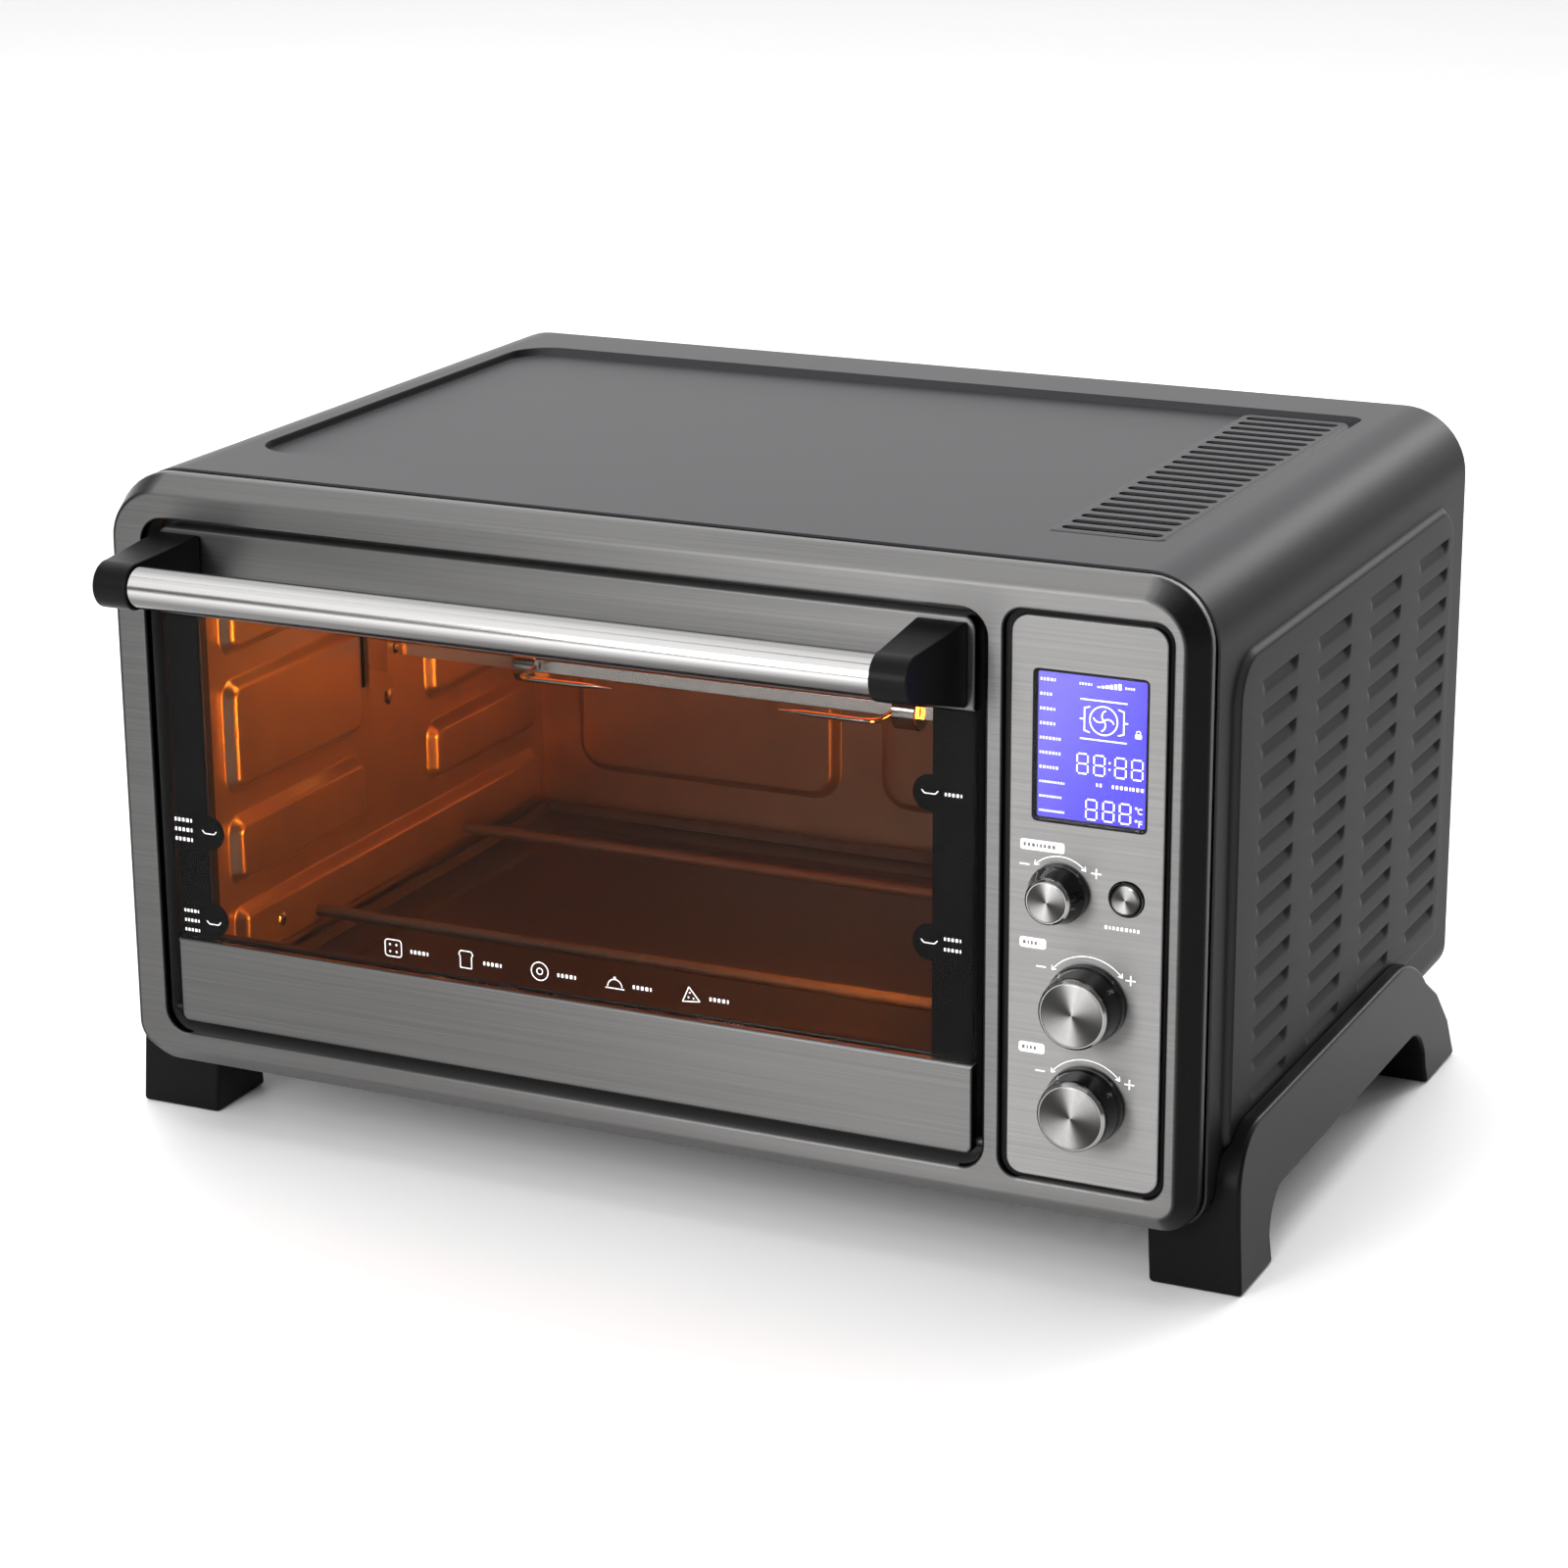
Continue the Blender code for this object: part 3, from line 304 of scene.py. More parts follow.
# Look: material name, colour, roughness, metallic, grain, other shader values.
PLAIN_LOOKS = {
    # Painted shade: a darkened copy of the front's steel for its turned-back edge, also worn in place of bright
    # steel by the door's pins and the rear screws.
    "steel_return": ("dark_steel_return", (0.030, 0.029, 0.029), 0.38, 0.6, (900, 0.1, 0.05, 0.1)),
    "rear_paint": (
        "rear_paint", (0.045, 0.045, 0.047), 0.45, 0.2, (1800, 0.10, 0.04, 0.12, 2.0, 0.00001),
    ),
    "motor_case": ("zinc_plate", (0.50, 0.50, 0.51), 0.38, 1.0, (250, 0.1, 0.08, 0.1)),
    "black_plastic": BLACK_PLASTIC,
    "encoder_case": BLACK_PLASTIC,
    "black_enamel": ("black_enamel", (0.012, 0.012, 0.012), 0.33, 0.0, (900, 0.15, 0.05, 0.15)),
    "black_ink": (
        "black_ink", (0.006, 0.006, 0.007), 0.6, 0.0, (900, 0.1, 0.05, 0.05), {SPECULAR: 0.15},
    ),
    # Painted highlight: the opening's lining is black; this grey paints the sheen on its lip.
    "lining_grey": ("lining_grey", (0.10, 0.10, 0.10), 0.40, 0.5, (900, 0.1, 0.05, 0.1)),
    "liner": ("aluminised_liner", (0.40, 0.28, 0.19), 0.34, 0.85, (60, 0.06, 0.06, 0.06)),
    "tray": (
        "crumb_tray_metal", (0.055, 0.050, 0.045), 0.40, 0.7, ((120, 60, 60), 0.18, 0.10, 0.10),
    ),
    "heater_sheath": ("heater_sheath", (0.10, 0.075, 0.055), 0.5, 0.5, (400, 0.2, 0.08, 0.2)),
    "hot_sheath": (
        "heater_sheath_hot", (0.30, 0.12, 0.05), 0.5, 0.3, (400, 0.2, 0.08, 0.2),
        {GLOW_COLOUR: (1.0, 0.16, 0.02, 1), GLOW: 1.6},
    ),
    "bright_steel": ("bright_plate", (0.72, 0.71, 0.70), 0.12, 1.0, (300, 0.03, 0.03, 0.03)),
    # Painted shade: a darker copy of bright_plate for the dial rims, as if less brightly lit.
    "rim_steel": ("dial_rim_steel", (0.30, 0.295, 0.29), 0.16, 1.0, (300, 0.03, 0.03, 0.03)),
    "fan_aluminium": (
        "fan_aluminium", (0.72, 0.72, 0.72), 0.35, 1.0, ((100, 800, 100), 0.06, 0.05, 0.1),
    ),
    "circuit_board": ("circuit_board", (0.02, 0.14, 0.06), 0.42, 0.0, (500, 0.2, 0.08, 0.1)),
    "knob_black": ("gloss_black", (0.004, 0.004, 0.0045), 0.10, 0.0, (60, 0.1, 0.02, 0.02)),
    # The white print glows a little: painted light on it, as if lit from the front.
    "white_print": (
        "white_print", (0.92, 0.92, 0.92), 0.5, 0.0, (1500, 0.03, 0.05, 0.05),
        {GLOW_COLOUR: (1.0, 1.0, 1.0, 1), GLOW: 0.22},
    ),
    "grey_print": ("grey_print", (0.12, 0.12, 0.13), 0.5, 0.0, (1500, 0.05, 0.05, 0.05)),
    "lit_print": (
        "display_segment", (0.8, 0.8, 0.85), 0.5, 0.0, (800, 0.03, 0.05, 0.02),
        {GLOW_COLOUR: (0.93, 0.93, 1.0, 1), GLOW: 0.95},
    ),
}
LOOKS = {
    "front_steel": front_steel(),
    "panel_steel": panel_steel(),
    "grey_paint": grey_paint(),
    "handle_steel": handle_steel(),
    "knob_face": spun_steel(),
    "display_black": backlight(),
    "display_lens": clear_glass("display_lens_clear", (0.96, 0.96, 0.98), 0.05, 1.2),
    "door_glass": clear_glass("door_glass_clear", (0.66, 0.65, 0.64), 0.01, 1.14),
}
for look, (material, colour, roughness, metallic, pattern, *more) in PLAIN_LOOKS.items():
    LOOKS[look] = grain(new_material(material, colour, roughness, metallic, *more), *pattern)


# ---------------------------------------------------------------- pieces
EDGE_ANGLE, SHARP_ANGLE = math.radians(40), math.radians(38)


def as_object(name, bm):
    bmesh.ops.recalc_face_normals(bm, faces=bm.faces)
    bm.transform(Matrix.Translation((0, FRONT_Y, 0)))
    mesh = bpy.data.meshes.new(name)
    bm.to_mesh(mesh)
    bm.free()
    obj = bpy.data.objects.new(name, mesh)
    bpy.context.scene.collection.objects.link(obj)
    return obj


def modify(obj, kind, **settings):
    added = obj.modifiers.new(kind.lower(), kind)
    for name, value in settings.items():
        setattr(added, name, value)


def new_piece(name, bm, look, body, node=None, slot=None, sheet=0.0, bevel=0.0, cutter=None):
    """Makes a piece from a mesh, gives it thickness or rounded edges, and lets it ride on a body.

    node is the CAD node that it takes the place of; cutter is a mesh that is cut away from it.
    """
    obj = as_object(name, bm)
    if sheet:
        modify(obj, "SOLIDIFY", thickness=sheet, offset=-1)
    if bevel:
        modify(obj, "BEVEL", width=bevel, segments=3, limit_method="ANGLE", angle_limit=EDGE_ANGLE)
    if cutter:
        tool = as_object("cutter", cutter)
        modify(obj, "BOOLEAN", object=tool, solver="EXACT")
    if obj.modifiers:
        bpy.context.view_layer.update()
        graph = bpy.context.evaluated_depsgraph_get()
        settled = bpy.data.meshes.new_from_object(obj.evaluated_get(graph))
        obj.modifiers.clear()
        obj.data = settled
    if cutter:
        bpy.data.objects.remove(tool, do_unlink=True)
    obj.data.shade_smooth()
    obj.data.set_sharp_from_angle(angle=SHARP_ANGLE)
    modify(obj, "WEIGHTED_NORMAL", keep_sharp=True)
    obj.data.materials.clear()
    obj.data.materials.append(LOOKS[look])
    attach(obj, body)
    slot or look
    if node:
        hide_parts(node)


def arc(centre, radius, start, end, steps):
    """Points of an arc in a plane, from one angle to another, in degrees."""
    for k in range(steps + 1):
        angle = math.radians(start + (end - start) * k / steps)
        yield centre[0] + radius * math.cos(angle), centre[1] + radius * math.sin(angle)


def fillet(points, radius, steps):
    """A line of straight stretches with its corners rounded."""
    made = [points[0]]
    for before, corner, after in zip(points, points[1:], points[2:]):
        before, corner, after = Vector(before), Vector(corner), Vector(after)
        reach = min(radius, (before - corner).length * 0.45, (after - corner).length * 0.45)
        start = corner + (before - corner).normalized() * reach
        end = corner + (after - corner).normalized() * reach
        for step_no in range(steps + 1):
            t = step_no / steps
            made.append(tuple(start * (1 - t) ** 2 + corner * 2 * t * (1 - t) + end * t * t))
    return made + [points[-1]]


def rounded(left, right, low, high, radii, steps=8):
    """A rounded rectangle, as a function that gives its outline at any inset.

    radii is one radius, or four: right low, right high, left high, left low.
    """
    if not isinstance(radii, tuple):
        radii = (radii,) * 4
    corners = (
        (right, low, radii[0], -90, 1, -1),
        (right, high, radii[1], 0, 1, 1),
        (left, high, radii[2], 90, -1, 1),
        (left, low, radii[3], 180, -1, -1),
    )

    def outline(inset=0.0):
        points = []
        for a, b, radius, start, side_a, side_b in corners:
            r = max(radius - inset, 0.0002)
            centre = (a - side_a * (inset + r), b - side_b * (inset + r))
            points += arc(centre, r, start, start + 90, steps)
        return points

    return outline


def round_box(box, radii, steps=8, grow=0.0):
    """A rounded rectangle over a span's front, or a little larger."""
    return rounded(
        box.left - grow, box.right + grow, box.low - grow, box.high + grow, radii, steps
    )


def circle(centre, radius, count):
    """A round hole's outline at any inset."""
    last = 360 - 360 / count
    return lambda inset=0.0: list(arc(centre, radius - inset, 0, last, count - 1))


def facing_front(a, b, height):
    return Vector((a, height, b))


def facing_side(a, b, height):
    return Vector((height, a, b))


def facing_up(a, b, height):
    return Vector((a, b, height))


def loop(bm, place, points, height):
    return [bm.verts.new(place(a, b, height)) for a, b in points]


def bridge(bm, first, second):
    for k in range(len(first)):
        bm.faces.new((first[k - 1], first[k], second[k], second[k - 1]))


def lofted(bm, place, outline, profile):
    """Walls that follow an outline through each (inset, height) of a profile; gives the loops."""
    loops = [loop(bm, place, outline(inset), height) for inset, height in profile]
    for first, second in zip(loops, loops[1:]):
        bridge(bm, first, second)
    return loops


def fill(bm, border, holes=()):
    """Flat triangles over a border, leaving its holes open."""
    spread = [max(v.co[k] for v in border) - min(v.co[k] for v in border) for k in range(3)]
    first, second = sorted(range(3), key=lambda k: -spread[k])[:2]
    corners, lines = [], []
    for line in (border, *holes):
        lines.append(range(len(corners), len(corners) + len(line)))
        corners += line
    flat = [Vector((vert.co[first], vert.co[second])) * 1000 for vert in corners]
    _, _, triangles, origins, _, _ = delaunay_2d_cdt(flat, [], [list(n) for n in lines], 2, 1e-5)
    for triangle in triangles:
        bm.faces.new([corners[origins[k][0]] for k in triangle])


def pane(bm, place, border, level, features=()):
    """A flat area at a level, with its features let into it."""
    fill(bm, border, [feature(bm, place, level) for feature in features])


def step(outline, profile, inside=None):
    """A feature that follows an outline down or up a profile of (inset, height)."""

    def build(bm, place, level):
        loops = lofted(bm, place, outline, [(inset, level + height) for inset, height in profile])
        if inside is not None:
            pane(bm, place, loops[-1], level + profile[-1][1], inside)
        return loops[0]

    return build


def pressed(outline, width, height, inside=(), steps=6):
    """A pressed area with an S-shaped side, and features in the middle of it."""
    shares = [k / steps for k in range(steps + 1)]
    side = [(width * t, height * (0.5 - 0.5 * math.cos(math.pi * t))) for t in shares]
    return step(outline, side, list(inside))


def hole(outline, depth=0.0, lip=0.0, steps=4):
    """An opening, with a rounded lip that turns in to a depth."""
    turn = [(lip * math.sin(t) - lip, lip - lip * math.cos(t)) for t in quarter(steps)]
    profile = turn if lip else [(0, 0)]
    if depth > lip:
        profile.append((0, depth))
    return step(outline, profile)


def quarter(steps):
    return [math.pi / 2 * k / steps for k in range(steps + 1)]


def plate(outline, front, back, edge, features=(), steps=5):
    """A plate that faces the front, its edges rounded over and turned back."""
    bm = bmesh.new()
    profile = [(0, back)] + [
        (edge - edge * math.cos(t), front + edge - edge * math.sin(t)) for t in quarter(steps)
    ]
    pane(bm, facing_front, lofted(bm, facing_front, outline, profile)[-1], front, features)
    return bm


def prism(bm, points, low, high, place=facing_front):
    """A closed plate of any outline between two heights."""
    first = loop(bm, place, points, low)
    second = loop(bm, place, points, high)
    bridge(bm, first, second)
    bm.faces.new(first)
    bm.faces.new(second)


def turned(bm, profile, place, steps=64):
    """Sweeps (radius, height) points round an axis; place takes two offsets and a height."""
    rings = []
    for radius, height in profile:
        if radius < 1e-7:
            rings.append([bm.verts.new(place(0, 0, height))])
            continue
        angles = [2 * math.pi * k / steps for k in range(steps)]
        points = [(radius * math.cos(a), radius * math.sin(a)) for a in angles]
        rings.append(loop(bm, place, points, height))
    for first, second in zip(rings, rings[1:]):
        if len(first) > 1 and len(second) > 1:
            bridge(bm, first, second)
            continue
        tip, ring = (first, second) if len(first) == 1 else (second, first)
        for k in range(len(ring)):
            bm.faces.new((ring[k - 1], ring[k], tip[0]))


def turned_ring(bm, profile, place, steps):
    """Sweeps a closed section round an axis."""
    turned(bm, profile + profile[:1], place, steps)
    bmesh.ops.remove_doubles(bm, verts=bm.verts, dist=1e-7)


def turned_piece(name, profile, place, steps, *dress, closed=False):
    """Makes a piece of one turned shape; dress is what new_piece takes after the mesh."""
    bm = bmesh.new()
    (turned_ring if closed else turned)(bm, profile, place, steps)
    new_piece(name, bm, *dress)


def bar_profile(radius, start, end):
    return [(0, start), (radius, start), (radius, end), (0, end)]


def front_axis(x, z):
    """Places a turned piece that faces the front; height is towards the viewer."""
    return lambda u, v, height: Vector((x + u, -height, z + v))


def side_axis(y, z):
    """Places a turned piece that runs along X; height is X."""
    return lambda u, v, height: Vector((height, y + u, z + v))


def rear_axis(x, z):
    """Places a turned piece that faces the back; height is Y."""
    return lambda u, v, height: Vector((x + u, height, z + v))


# ---------------------------------------------------------------- wrap-round cover
PANEL_FRONT, PANEL_REAR = 0.0284, 0.3085
PANEL_RISE, PANEL_SLOPE = 0.0026, 0.0040
VENT_LEFT, VENT_RIGHT, VENT_WIDTH = 0.1520, 0.1925, 0.0056
VENT_FIRST, VENT_PITCH, VENT_COUNT = 0.070, 0.01014, 22
# Left, right, front, rear and corners, or front, rear, low, high and corners for the sides
VENT_PAD = (0.1470, 0.1970, 0.0605, 0.2930, 0.006)
TOP_WELL = (-0.2030, 0.2005, 0.0550, 0.2965, (0.0070, 0.0070, 0.0190, 0.0190))
SIDE_PANEL = (PANEL_FRONT, PANEL_REAR, 0.0520, 0.2493, (0.010, 0.020, 0.020, 0.010))


def louvre(start, length, base, height, depth):
    """A lanced louvre: a flap that sinks in towards its upper edge, which stands open."""
    taper, rows = 0.14, 5
    along = (0, 0.03, 0.06, 0.10, taper, 0.5, 1 - taper, 0.90, 0.94, 0.97, 1)

    def sink(u, v):
        end = min(1.0, min(u, 1 - u) / taper)
        return -depth * end * end * (3 - 2 * end) * v**1.4

    def build(bm, place, level):
        grid = []
        for row in range(rows + 1):
            v = row / rows
            line = [(start + length * u, base + height * v, level + sink(u, v)) for u in along]
            grid.append([bm.verts.new(place(*point)) for point in line])
        for lower, upper in zip(grid, grid[1:]):
            for k in range(len(along) - 1):
                bm.faces.new((lower[k], lower[k + 1], upper[k + 1], upper[k]))
        top = loop(bm, place, [(start + length * u, base + height) for u in along[1:-1]], level)
        rising = [row[-1] for row in grid[1:]]
        falling = [row[0] for row in grid[:0:-1]]
        return grid[0] + rising + top[::-1] + falling

    return build


def louvre_field():
    columns, rows = 4, 14
    first_y, pitch_y, length = 0.0545, 0.0667, 0.0430
    first_z, pitch_z, height, depth = 0.0645, 0.01256, 0.0064, 0.0036
    for column in range(columns):
        for row in range(rows):
            y, z = first_y + pitch_y * column, first_z + pitch_z * row
            yield louvre(y, length, z, height, depth)


def vent_slot(y):
    half = VENT_WIDTH / 2
    outline = rounded(VENT_LEFT, VENT_RIGHT, y - half, y + half, VENT_WIDTH * 0.47, steps=4)
    return hole(outline, -0.0006)


def make_cover():
    box = span("wrap_cover")
    half, low, top = box.right, box.low, box.high
    low_radius, high_radius, turn_in = 0.014, 0.028, 0.022
    steps = 12
    line = [(-half + low_radius + turn_in, low)]
    line += arc((-half + low_radius, low + low_radius), low_radius, 270, 180, 8)
    left_side = len(line) - 1
    line += arc((-half + high_radius, top - high_radius), high_radius, 180, 90, steps)
    flat_top = len(line) - 1
    line += arc((half - high_radius, top - high_radius), high_radius, 90, 0, steps)
    right_side = len(line) - 1
    line += arc((half - low_radius, low + low_radius), low_radius, 0, -90, 8)
    line.append((half - low_radius - turn_in, low))

    bm = bmesh.new()
    front = loop(bm, facing_front, line, box.front)
    rear = loop(bm, facing_front, line, box.back)
    slots = [vent_slot(VENT_FIRST + VENT_PITCH * k) for k in range(VENT_COUNT)]
    vent_pad = pressed(rounded(*VENT_PAD), 0.0026, 0.0018, slots)
    well = pressed(rounded(*TOP_WELL), 0.0011, -0.0034, [vent_pad])
    louvred = pressed(rounded(*SIDE_PANEL), PANEL_SLOPE, PANEL_RISE, louvre_field())
    plain = pressed(rounded(*SIDE_PANEL), PANEL_SLOPE, PANEL_RISE)
    flats = {
        left_side: (lambda a, b, h: Vector((-half - h, a, b)), plain),
        flat_top: (lambda a, b, h: Vector((a, b, top + h)), well),
        right_side: (lambda a, b, h: Vector((half + h, a, b)), louvred),
    }
    for k in range(len(line) - 1):
        border = (front[k], front[k + 1], rear[k + 1], rear[k])
        if k in flats:
            place, feature = flats[k]
            pane(bm, place, border, 0.0, [feature])
        else:
            bm.faces.new(border)
    new_piece("cover_skin", bm, "grey_paint", "housing", "wrap_cover", sheet=0.0010)


# ---------------------------------------------------------------- steel front
LIP = WALL = 0.0012


def make_bezel():
    """The pressed steel face, and its edge turned back inside the cover's mouth, darkened to paint the shade on
    it.
    """
    box, opening, housing = span("front_bezel"), span("door_surround"), span("control_housing")
    door_hole = rounded(
        opening.left + WALL, opening.right - WALL,
        opening.low + WALL, opening.high - WALL - 0.0010, 0.0105,
    )
    control_hole = rounded(
        housing.left + 0.0010, housing.right - 0.0044,
        housing.low + 0.0042, housing.high - 0.0044, 0.0080,
    )
    low_radius, high_radius = 0.015, 0.025
    edge, side_radius = 0.0104, 0.0022
    slope = fillet([(0, edge), (0, 0.0074), (0.0074, 0), (0.0100, 0)], 0.0060, 9)
    bm = bmesh.new()
    loops = []
    for inset, depth in slope:
        hollow = side_radius - min(depth, side_radius)
        left_inset = side_radius - math.sqrt(side_radius**2 - hollow**2) + 0.06 * inset
        low_left, high_left = (r - (inset + left_inset) / 2 for r in (low_radius, high_radius))
        radii = (low_radius - inset, high_radius - inset, high_left, low_left)
        line = rounded(
            box.left + left_inset, box.right - inset, box.low + inset, box.high - inset, radii, 10
        )()
        loops.append(loop(bm, facing_front, line, box.front + depth))
    for first, second in zip(loops, loops[1:]):
        bridge(bm, first, second)
    openings = [hole(door_hole, 0.0040, LIP), hole(control_hole, 0.0030, LIP)]
    pane(bm, facing_front, loops[-1], box.front, openings)
    new_piece("front_skin", bm, "front_steel", "housing", "front_bezel", sheet=0.0008)

    outline = round_box(box, (low_radius, high_radius, high_radius, low_radius), 10)
    bm = bmesh.new()
    line = [(0.0, box.front + edge + 0.0005), (0.0, box.back - 0.0006), (0.0006, box.back)]
    line += [(0.0024, box.back), (0.0024, box.back + 0.0120)]
    lofted(bm, facing_front, outline, line)
    # The turned-back edge wears the darkened steel: painted shade.
    new_piece("front_return", bm, "steel_return", "housing", slot="front_steel", sheet=0.0008)


def make_strip(name, node, low, high):
    box = span(node)
    bm = plate(round_box(box, (low, high, high, low), 5), box.front, box.back, 0.0012, steps=4)
    new_piece(name, bm, "front_steel", "door", node, sheet=0.0009)


def make_door_frames():
    """The black frame behind the door's glass and the black lining of the opening, coloured grey to paint the
    sheen on its lip.
    """
    box = span("door_frame")
    window = rounded(
        box.left + 0.0150, box.right - 0.0175, box.low + 0.0367, box.high - 0.0367, 0.0015
    )
    opening = hole(window, 0.0048, 0.0003)
    bm = plate(round_box(box, 0.0035), box.front, box.back, 0.0004, [opening])
    new_piece("door_inner_frame", bm, "black_enamel", "door", "door_frame", sheet=0.0008)

    box = span("door_surround")
    edge = [
        (WALL, box.back),
        (WALL, box.front + 0.0016),
        (WALL * 0.75, box.front + 0.0004),
        (WALL * 0.4, box.front),
        (0, box.front + 0.0004),
        (0, box.back),
    ]
    bm = bmesh.new()
    loops = lofted(bm, facing_front, round_box(box, 0.0115), edge)
    bridge(bm, loops[-1], loops[0])
    # Painted highlight: the black lining is coloured grey for the sheen on its lip.
    new_piece(
        "opening_lining", bm, "lining_grey", "housing", "door_surround", slot="black_enamel"
    )


# ---------------------------------------------------------------- handle
def make_handle():
    tube = span("handle_tube")
    radius = (tube.high - tube.low) / 2
    y, z = middle_of(tube, "yz")
    at = side_axis(y, z)
    rim = 0.0006
    profile = [(0, tube.left), (radius - rim, tube.left), (radius, tube.left + rim)]
    profile += [(radius, tube.right - rim), (radius - rim, tube.right), (0, tube.right)]
    turned_piece("handle_bar", profile, at, 72, "handle_steel", "door", "handle_tube")

    flare = 0.0025
    for side, node in ((1, "handle_bracket_left"), (-1, "handle_bracket_right")):
        box = span(node)
        line = [(box.back, box.high), *arc((y, z), y - box.front, 84, 276, 28)]
        line += [(box.back, box.low)]
        middle = (box.left + box.right) / 2
        half = (box.right - box.left) / 2
        bm = bmesh.new()
        prism(bm, line, middle - half, middle + half, facing_side)
        for vert in bm.verts:
            share = min(1.0, (box.back - vert.co.y) / (box.back - y))
            vert.co.x += flare * share * (1 if vert.co.x < middle else -1)
        socket = bmesh.new()
        reach = sorted((middle - side * 0.0005, middle + side * 0.03))
        turned(socket, bar_profile(radius + 0.0004, *reach), at, 72)
        new_piece(
            f"{node}_moulding", bm, "black_plastic", "door", node, bevel=0.0009, cutter=socket
        )


# ---------------------------------------------------------------- print
class Print:
    """Flat marks of one colour on a plane that faces the front."""

    def __init__(self, surface, thick=0.00006):
        self.bm = bmesh.new()
        self.back = surface
        self.front = surface - thick

    def shape(self, points):
        prism(self.bm, points, self.front, self.back)

    def bar(self, start, end, width):
        start, end = Vector(start), Vector(end)
        run = (end - start).normalized()
        side = Vector((-run.y, run.x)) * width / 2
        self.shape([start - side, end - side, end + side, start + side])

    def band(self, centre, radius, first, last, width, steps=16):
        outer = list(arc(centre, radius + width / 2, first, last, steps))
        inner = list(arc(centre, radius - width / 2, last, first, steps))
        self.shape(outer + inner)

    def ring(self, centre, radius, width):
        self.band(centre, radius, 0, 180, width)
        self.band(centre, radius, 180, 360, width)

    def disc(self, centre, radius, steps=16):
        self.shape(list(arc(centre, radius, 0, 360 - 360 / steps, steps - 1)))

    def word(self, left, middle, height, letters):
        """A row of small blocks in place of a word."""
        x = left
        for k in range(letters):
            width = height * (0.36, 0.46, 0.28, 0.42, 0.50)[(k * 3 + letters) % 5]
            low = middle - height * 0.31
            self.shape(rounded(x, x + width, low, low + height * 0.62, height * 0.10, steps=2)())
            x += width + height * 0.30

    def digit(self, left, low, width, height, stroke):
        """An eight made of seven separate segments."""
        right, high, middle = left + width, low + height, low + height / 2
        gap = stroke * 0.75
        for z in (low, middle, high):
            self.bar((left + gap, z), (right - gap, z), stroke)
        for x in (left, right):
            self.bar((x, low + gap), (x, middle - gap), stroke)
            self.bar((x, middle + gap), (x, high - gap), stroke)


def make_door_glass():
    box = span("door_glass")
    bm = bmesh.new()
    edge = 0.0004
    profile = [(edge, box.front), (0, box.front + edge), (0, box.back - edge), (edge, box.back)]
    loops = lofted(bm, facing_front, round_box(box, 0.0005, 1), profile)
    fill(bm, loops[0])
    fill(bm, loops[-1])
    new_piece("door_pane", bm, "door_glass", "door", "door_glass")
    make_glass_print(box)


Shelf = namedtuple("Shelf", "side band_z mark_z words_left rows letter_height")
SHELVES = (
    Shelf(-1, 0.1310, 0.1323, -0.2134, 3, 0.0026),
    Shelf(-1, 0.0931, 0.0928, -0.2109, 3, 0.0022),
    Shelf(1, 0.1896, 0.1910, 0.1322, 1, 0.0022),
    Shelf(1, 0.1301, 0.1315, 0.1322, 2, 0.0022),
)


def make_glass_print(box):
    """Black side bands with a round bump at each shelf level, and white marks on them."""
    bump_low, bump_reach = 0.0074, 0.0082
    row_pitch, first_icon, icon_pitch, icon_z = 0.0042, -0.1106, 0.0338, 0.0946
    band_edges, mark_places = {-1: -0.2001, 1: 0.1257}, {-1: -0.1967, 1: 0.1261}
    for side, name in ((-1, "left"), (1, "right")):
        edge = band_edges[side]
        outer = box.left if side < 0 else box.right
        line = [(outer, box.low), (edge, box.low)]
        for z in sorted(shelf.band_z for shelf in SHELVES if shelf.side == side):
            centre = (edge - side * (bump_reach - bump_low), z)
            line.append((edge, z - bump_low))
            line += arc(centre, bump_low, -90, -90 - side * 180, 18)
            line.append((edge, z + bump_low))
        line += [(edge, box.high), (outer, box.high)]
        bm = bmesh.new()
        prism(bm, line, box.back + 0.00005, box.back + 0.00020)
        new_piece(f"glass_band_{name}", bm, "black_ink", "door", slot="black_enamel")

    marks = Print(box.front)
    for side, _, z, words_left, rows, letter_height in SHELVES:
        x = mark_places[side]
        dish = [(x - 0.0034, z + 0.0009), (x - 0.0022, z - 0.0004)]
        dish += [(x + 0.0022, z - 0.0004), (x + 0.0034, z + 0.0009)]
        for start, end in zip(dish, dish[1:]):
            marks.bar(start, end, 0.00042)
        for row in range(rows):
            marks.word(words_left, z + row_pitch * ((rows - 1) / 2 - row), letter_height, 5)
    icons = (pastry, slice_of_bread, ring_roll, covered_dish, wedge)
    for k, icon in enumerate(icons):
        x = first_icon + icon_pitch * k
        icon(marks, x, icon_z)
        marks.word(x + 0.0080, 0.0942, 0.0026, 5)
    new_piece("glass_marks", marks.bm, "white_print", "door", slot="door_glass")


ICON_LINE = 0.00045


def closed_line(marks, points):
    for k in range(len(points)):
        marks.bar(points[k - 1], points[k], ICON_LINE)


def pastry(marks, x, z):
    closed_line(marks, rounded(x - 0.0038, x + 0.0038, z - 0.0036, z + 0.0036, 0.0012, steps=2)())
    for dx in (-0.0015, 0.0015):
        for dz in (-0.0015, 0.0015):
            marks.disc((x + dx, z + dz), 0.0005, 8)


def slice_of_bread(marks, x, z):
    line = [(x - 0.0026, z - 0.0036), (x + 0.0026, z - 0.0036), (x + 0.0026, z + 0.0012)]
    line += [(x + 0.0033, z + 0.0022), (x + 0.0024, z + 0.0036), (x - 0.0024, z + 0.0036)]
    line += [(x - 0.0033, z + 0.0022), (x - 0.0026, z + 0.0012)]
    closed_line(marks, line)


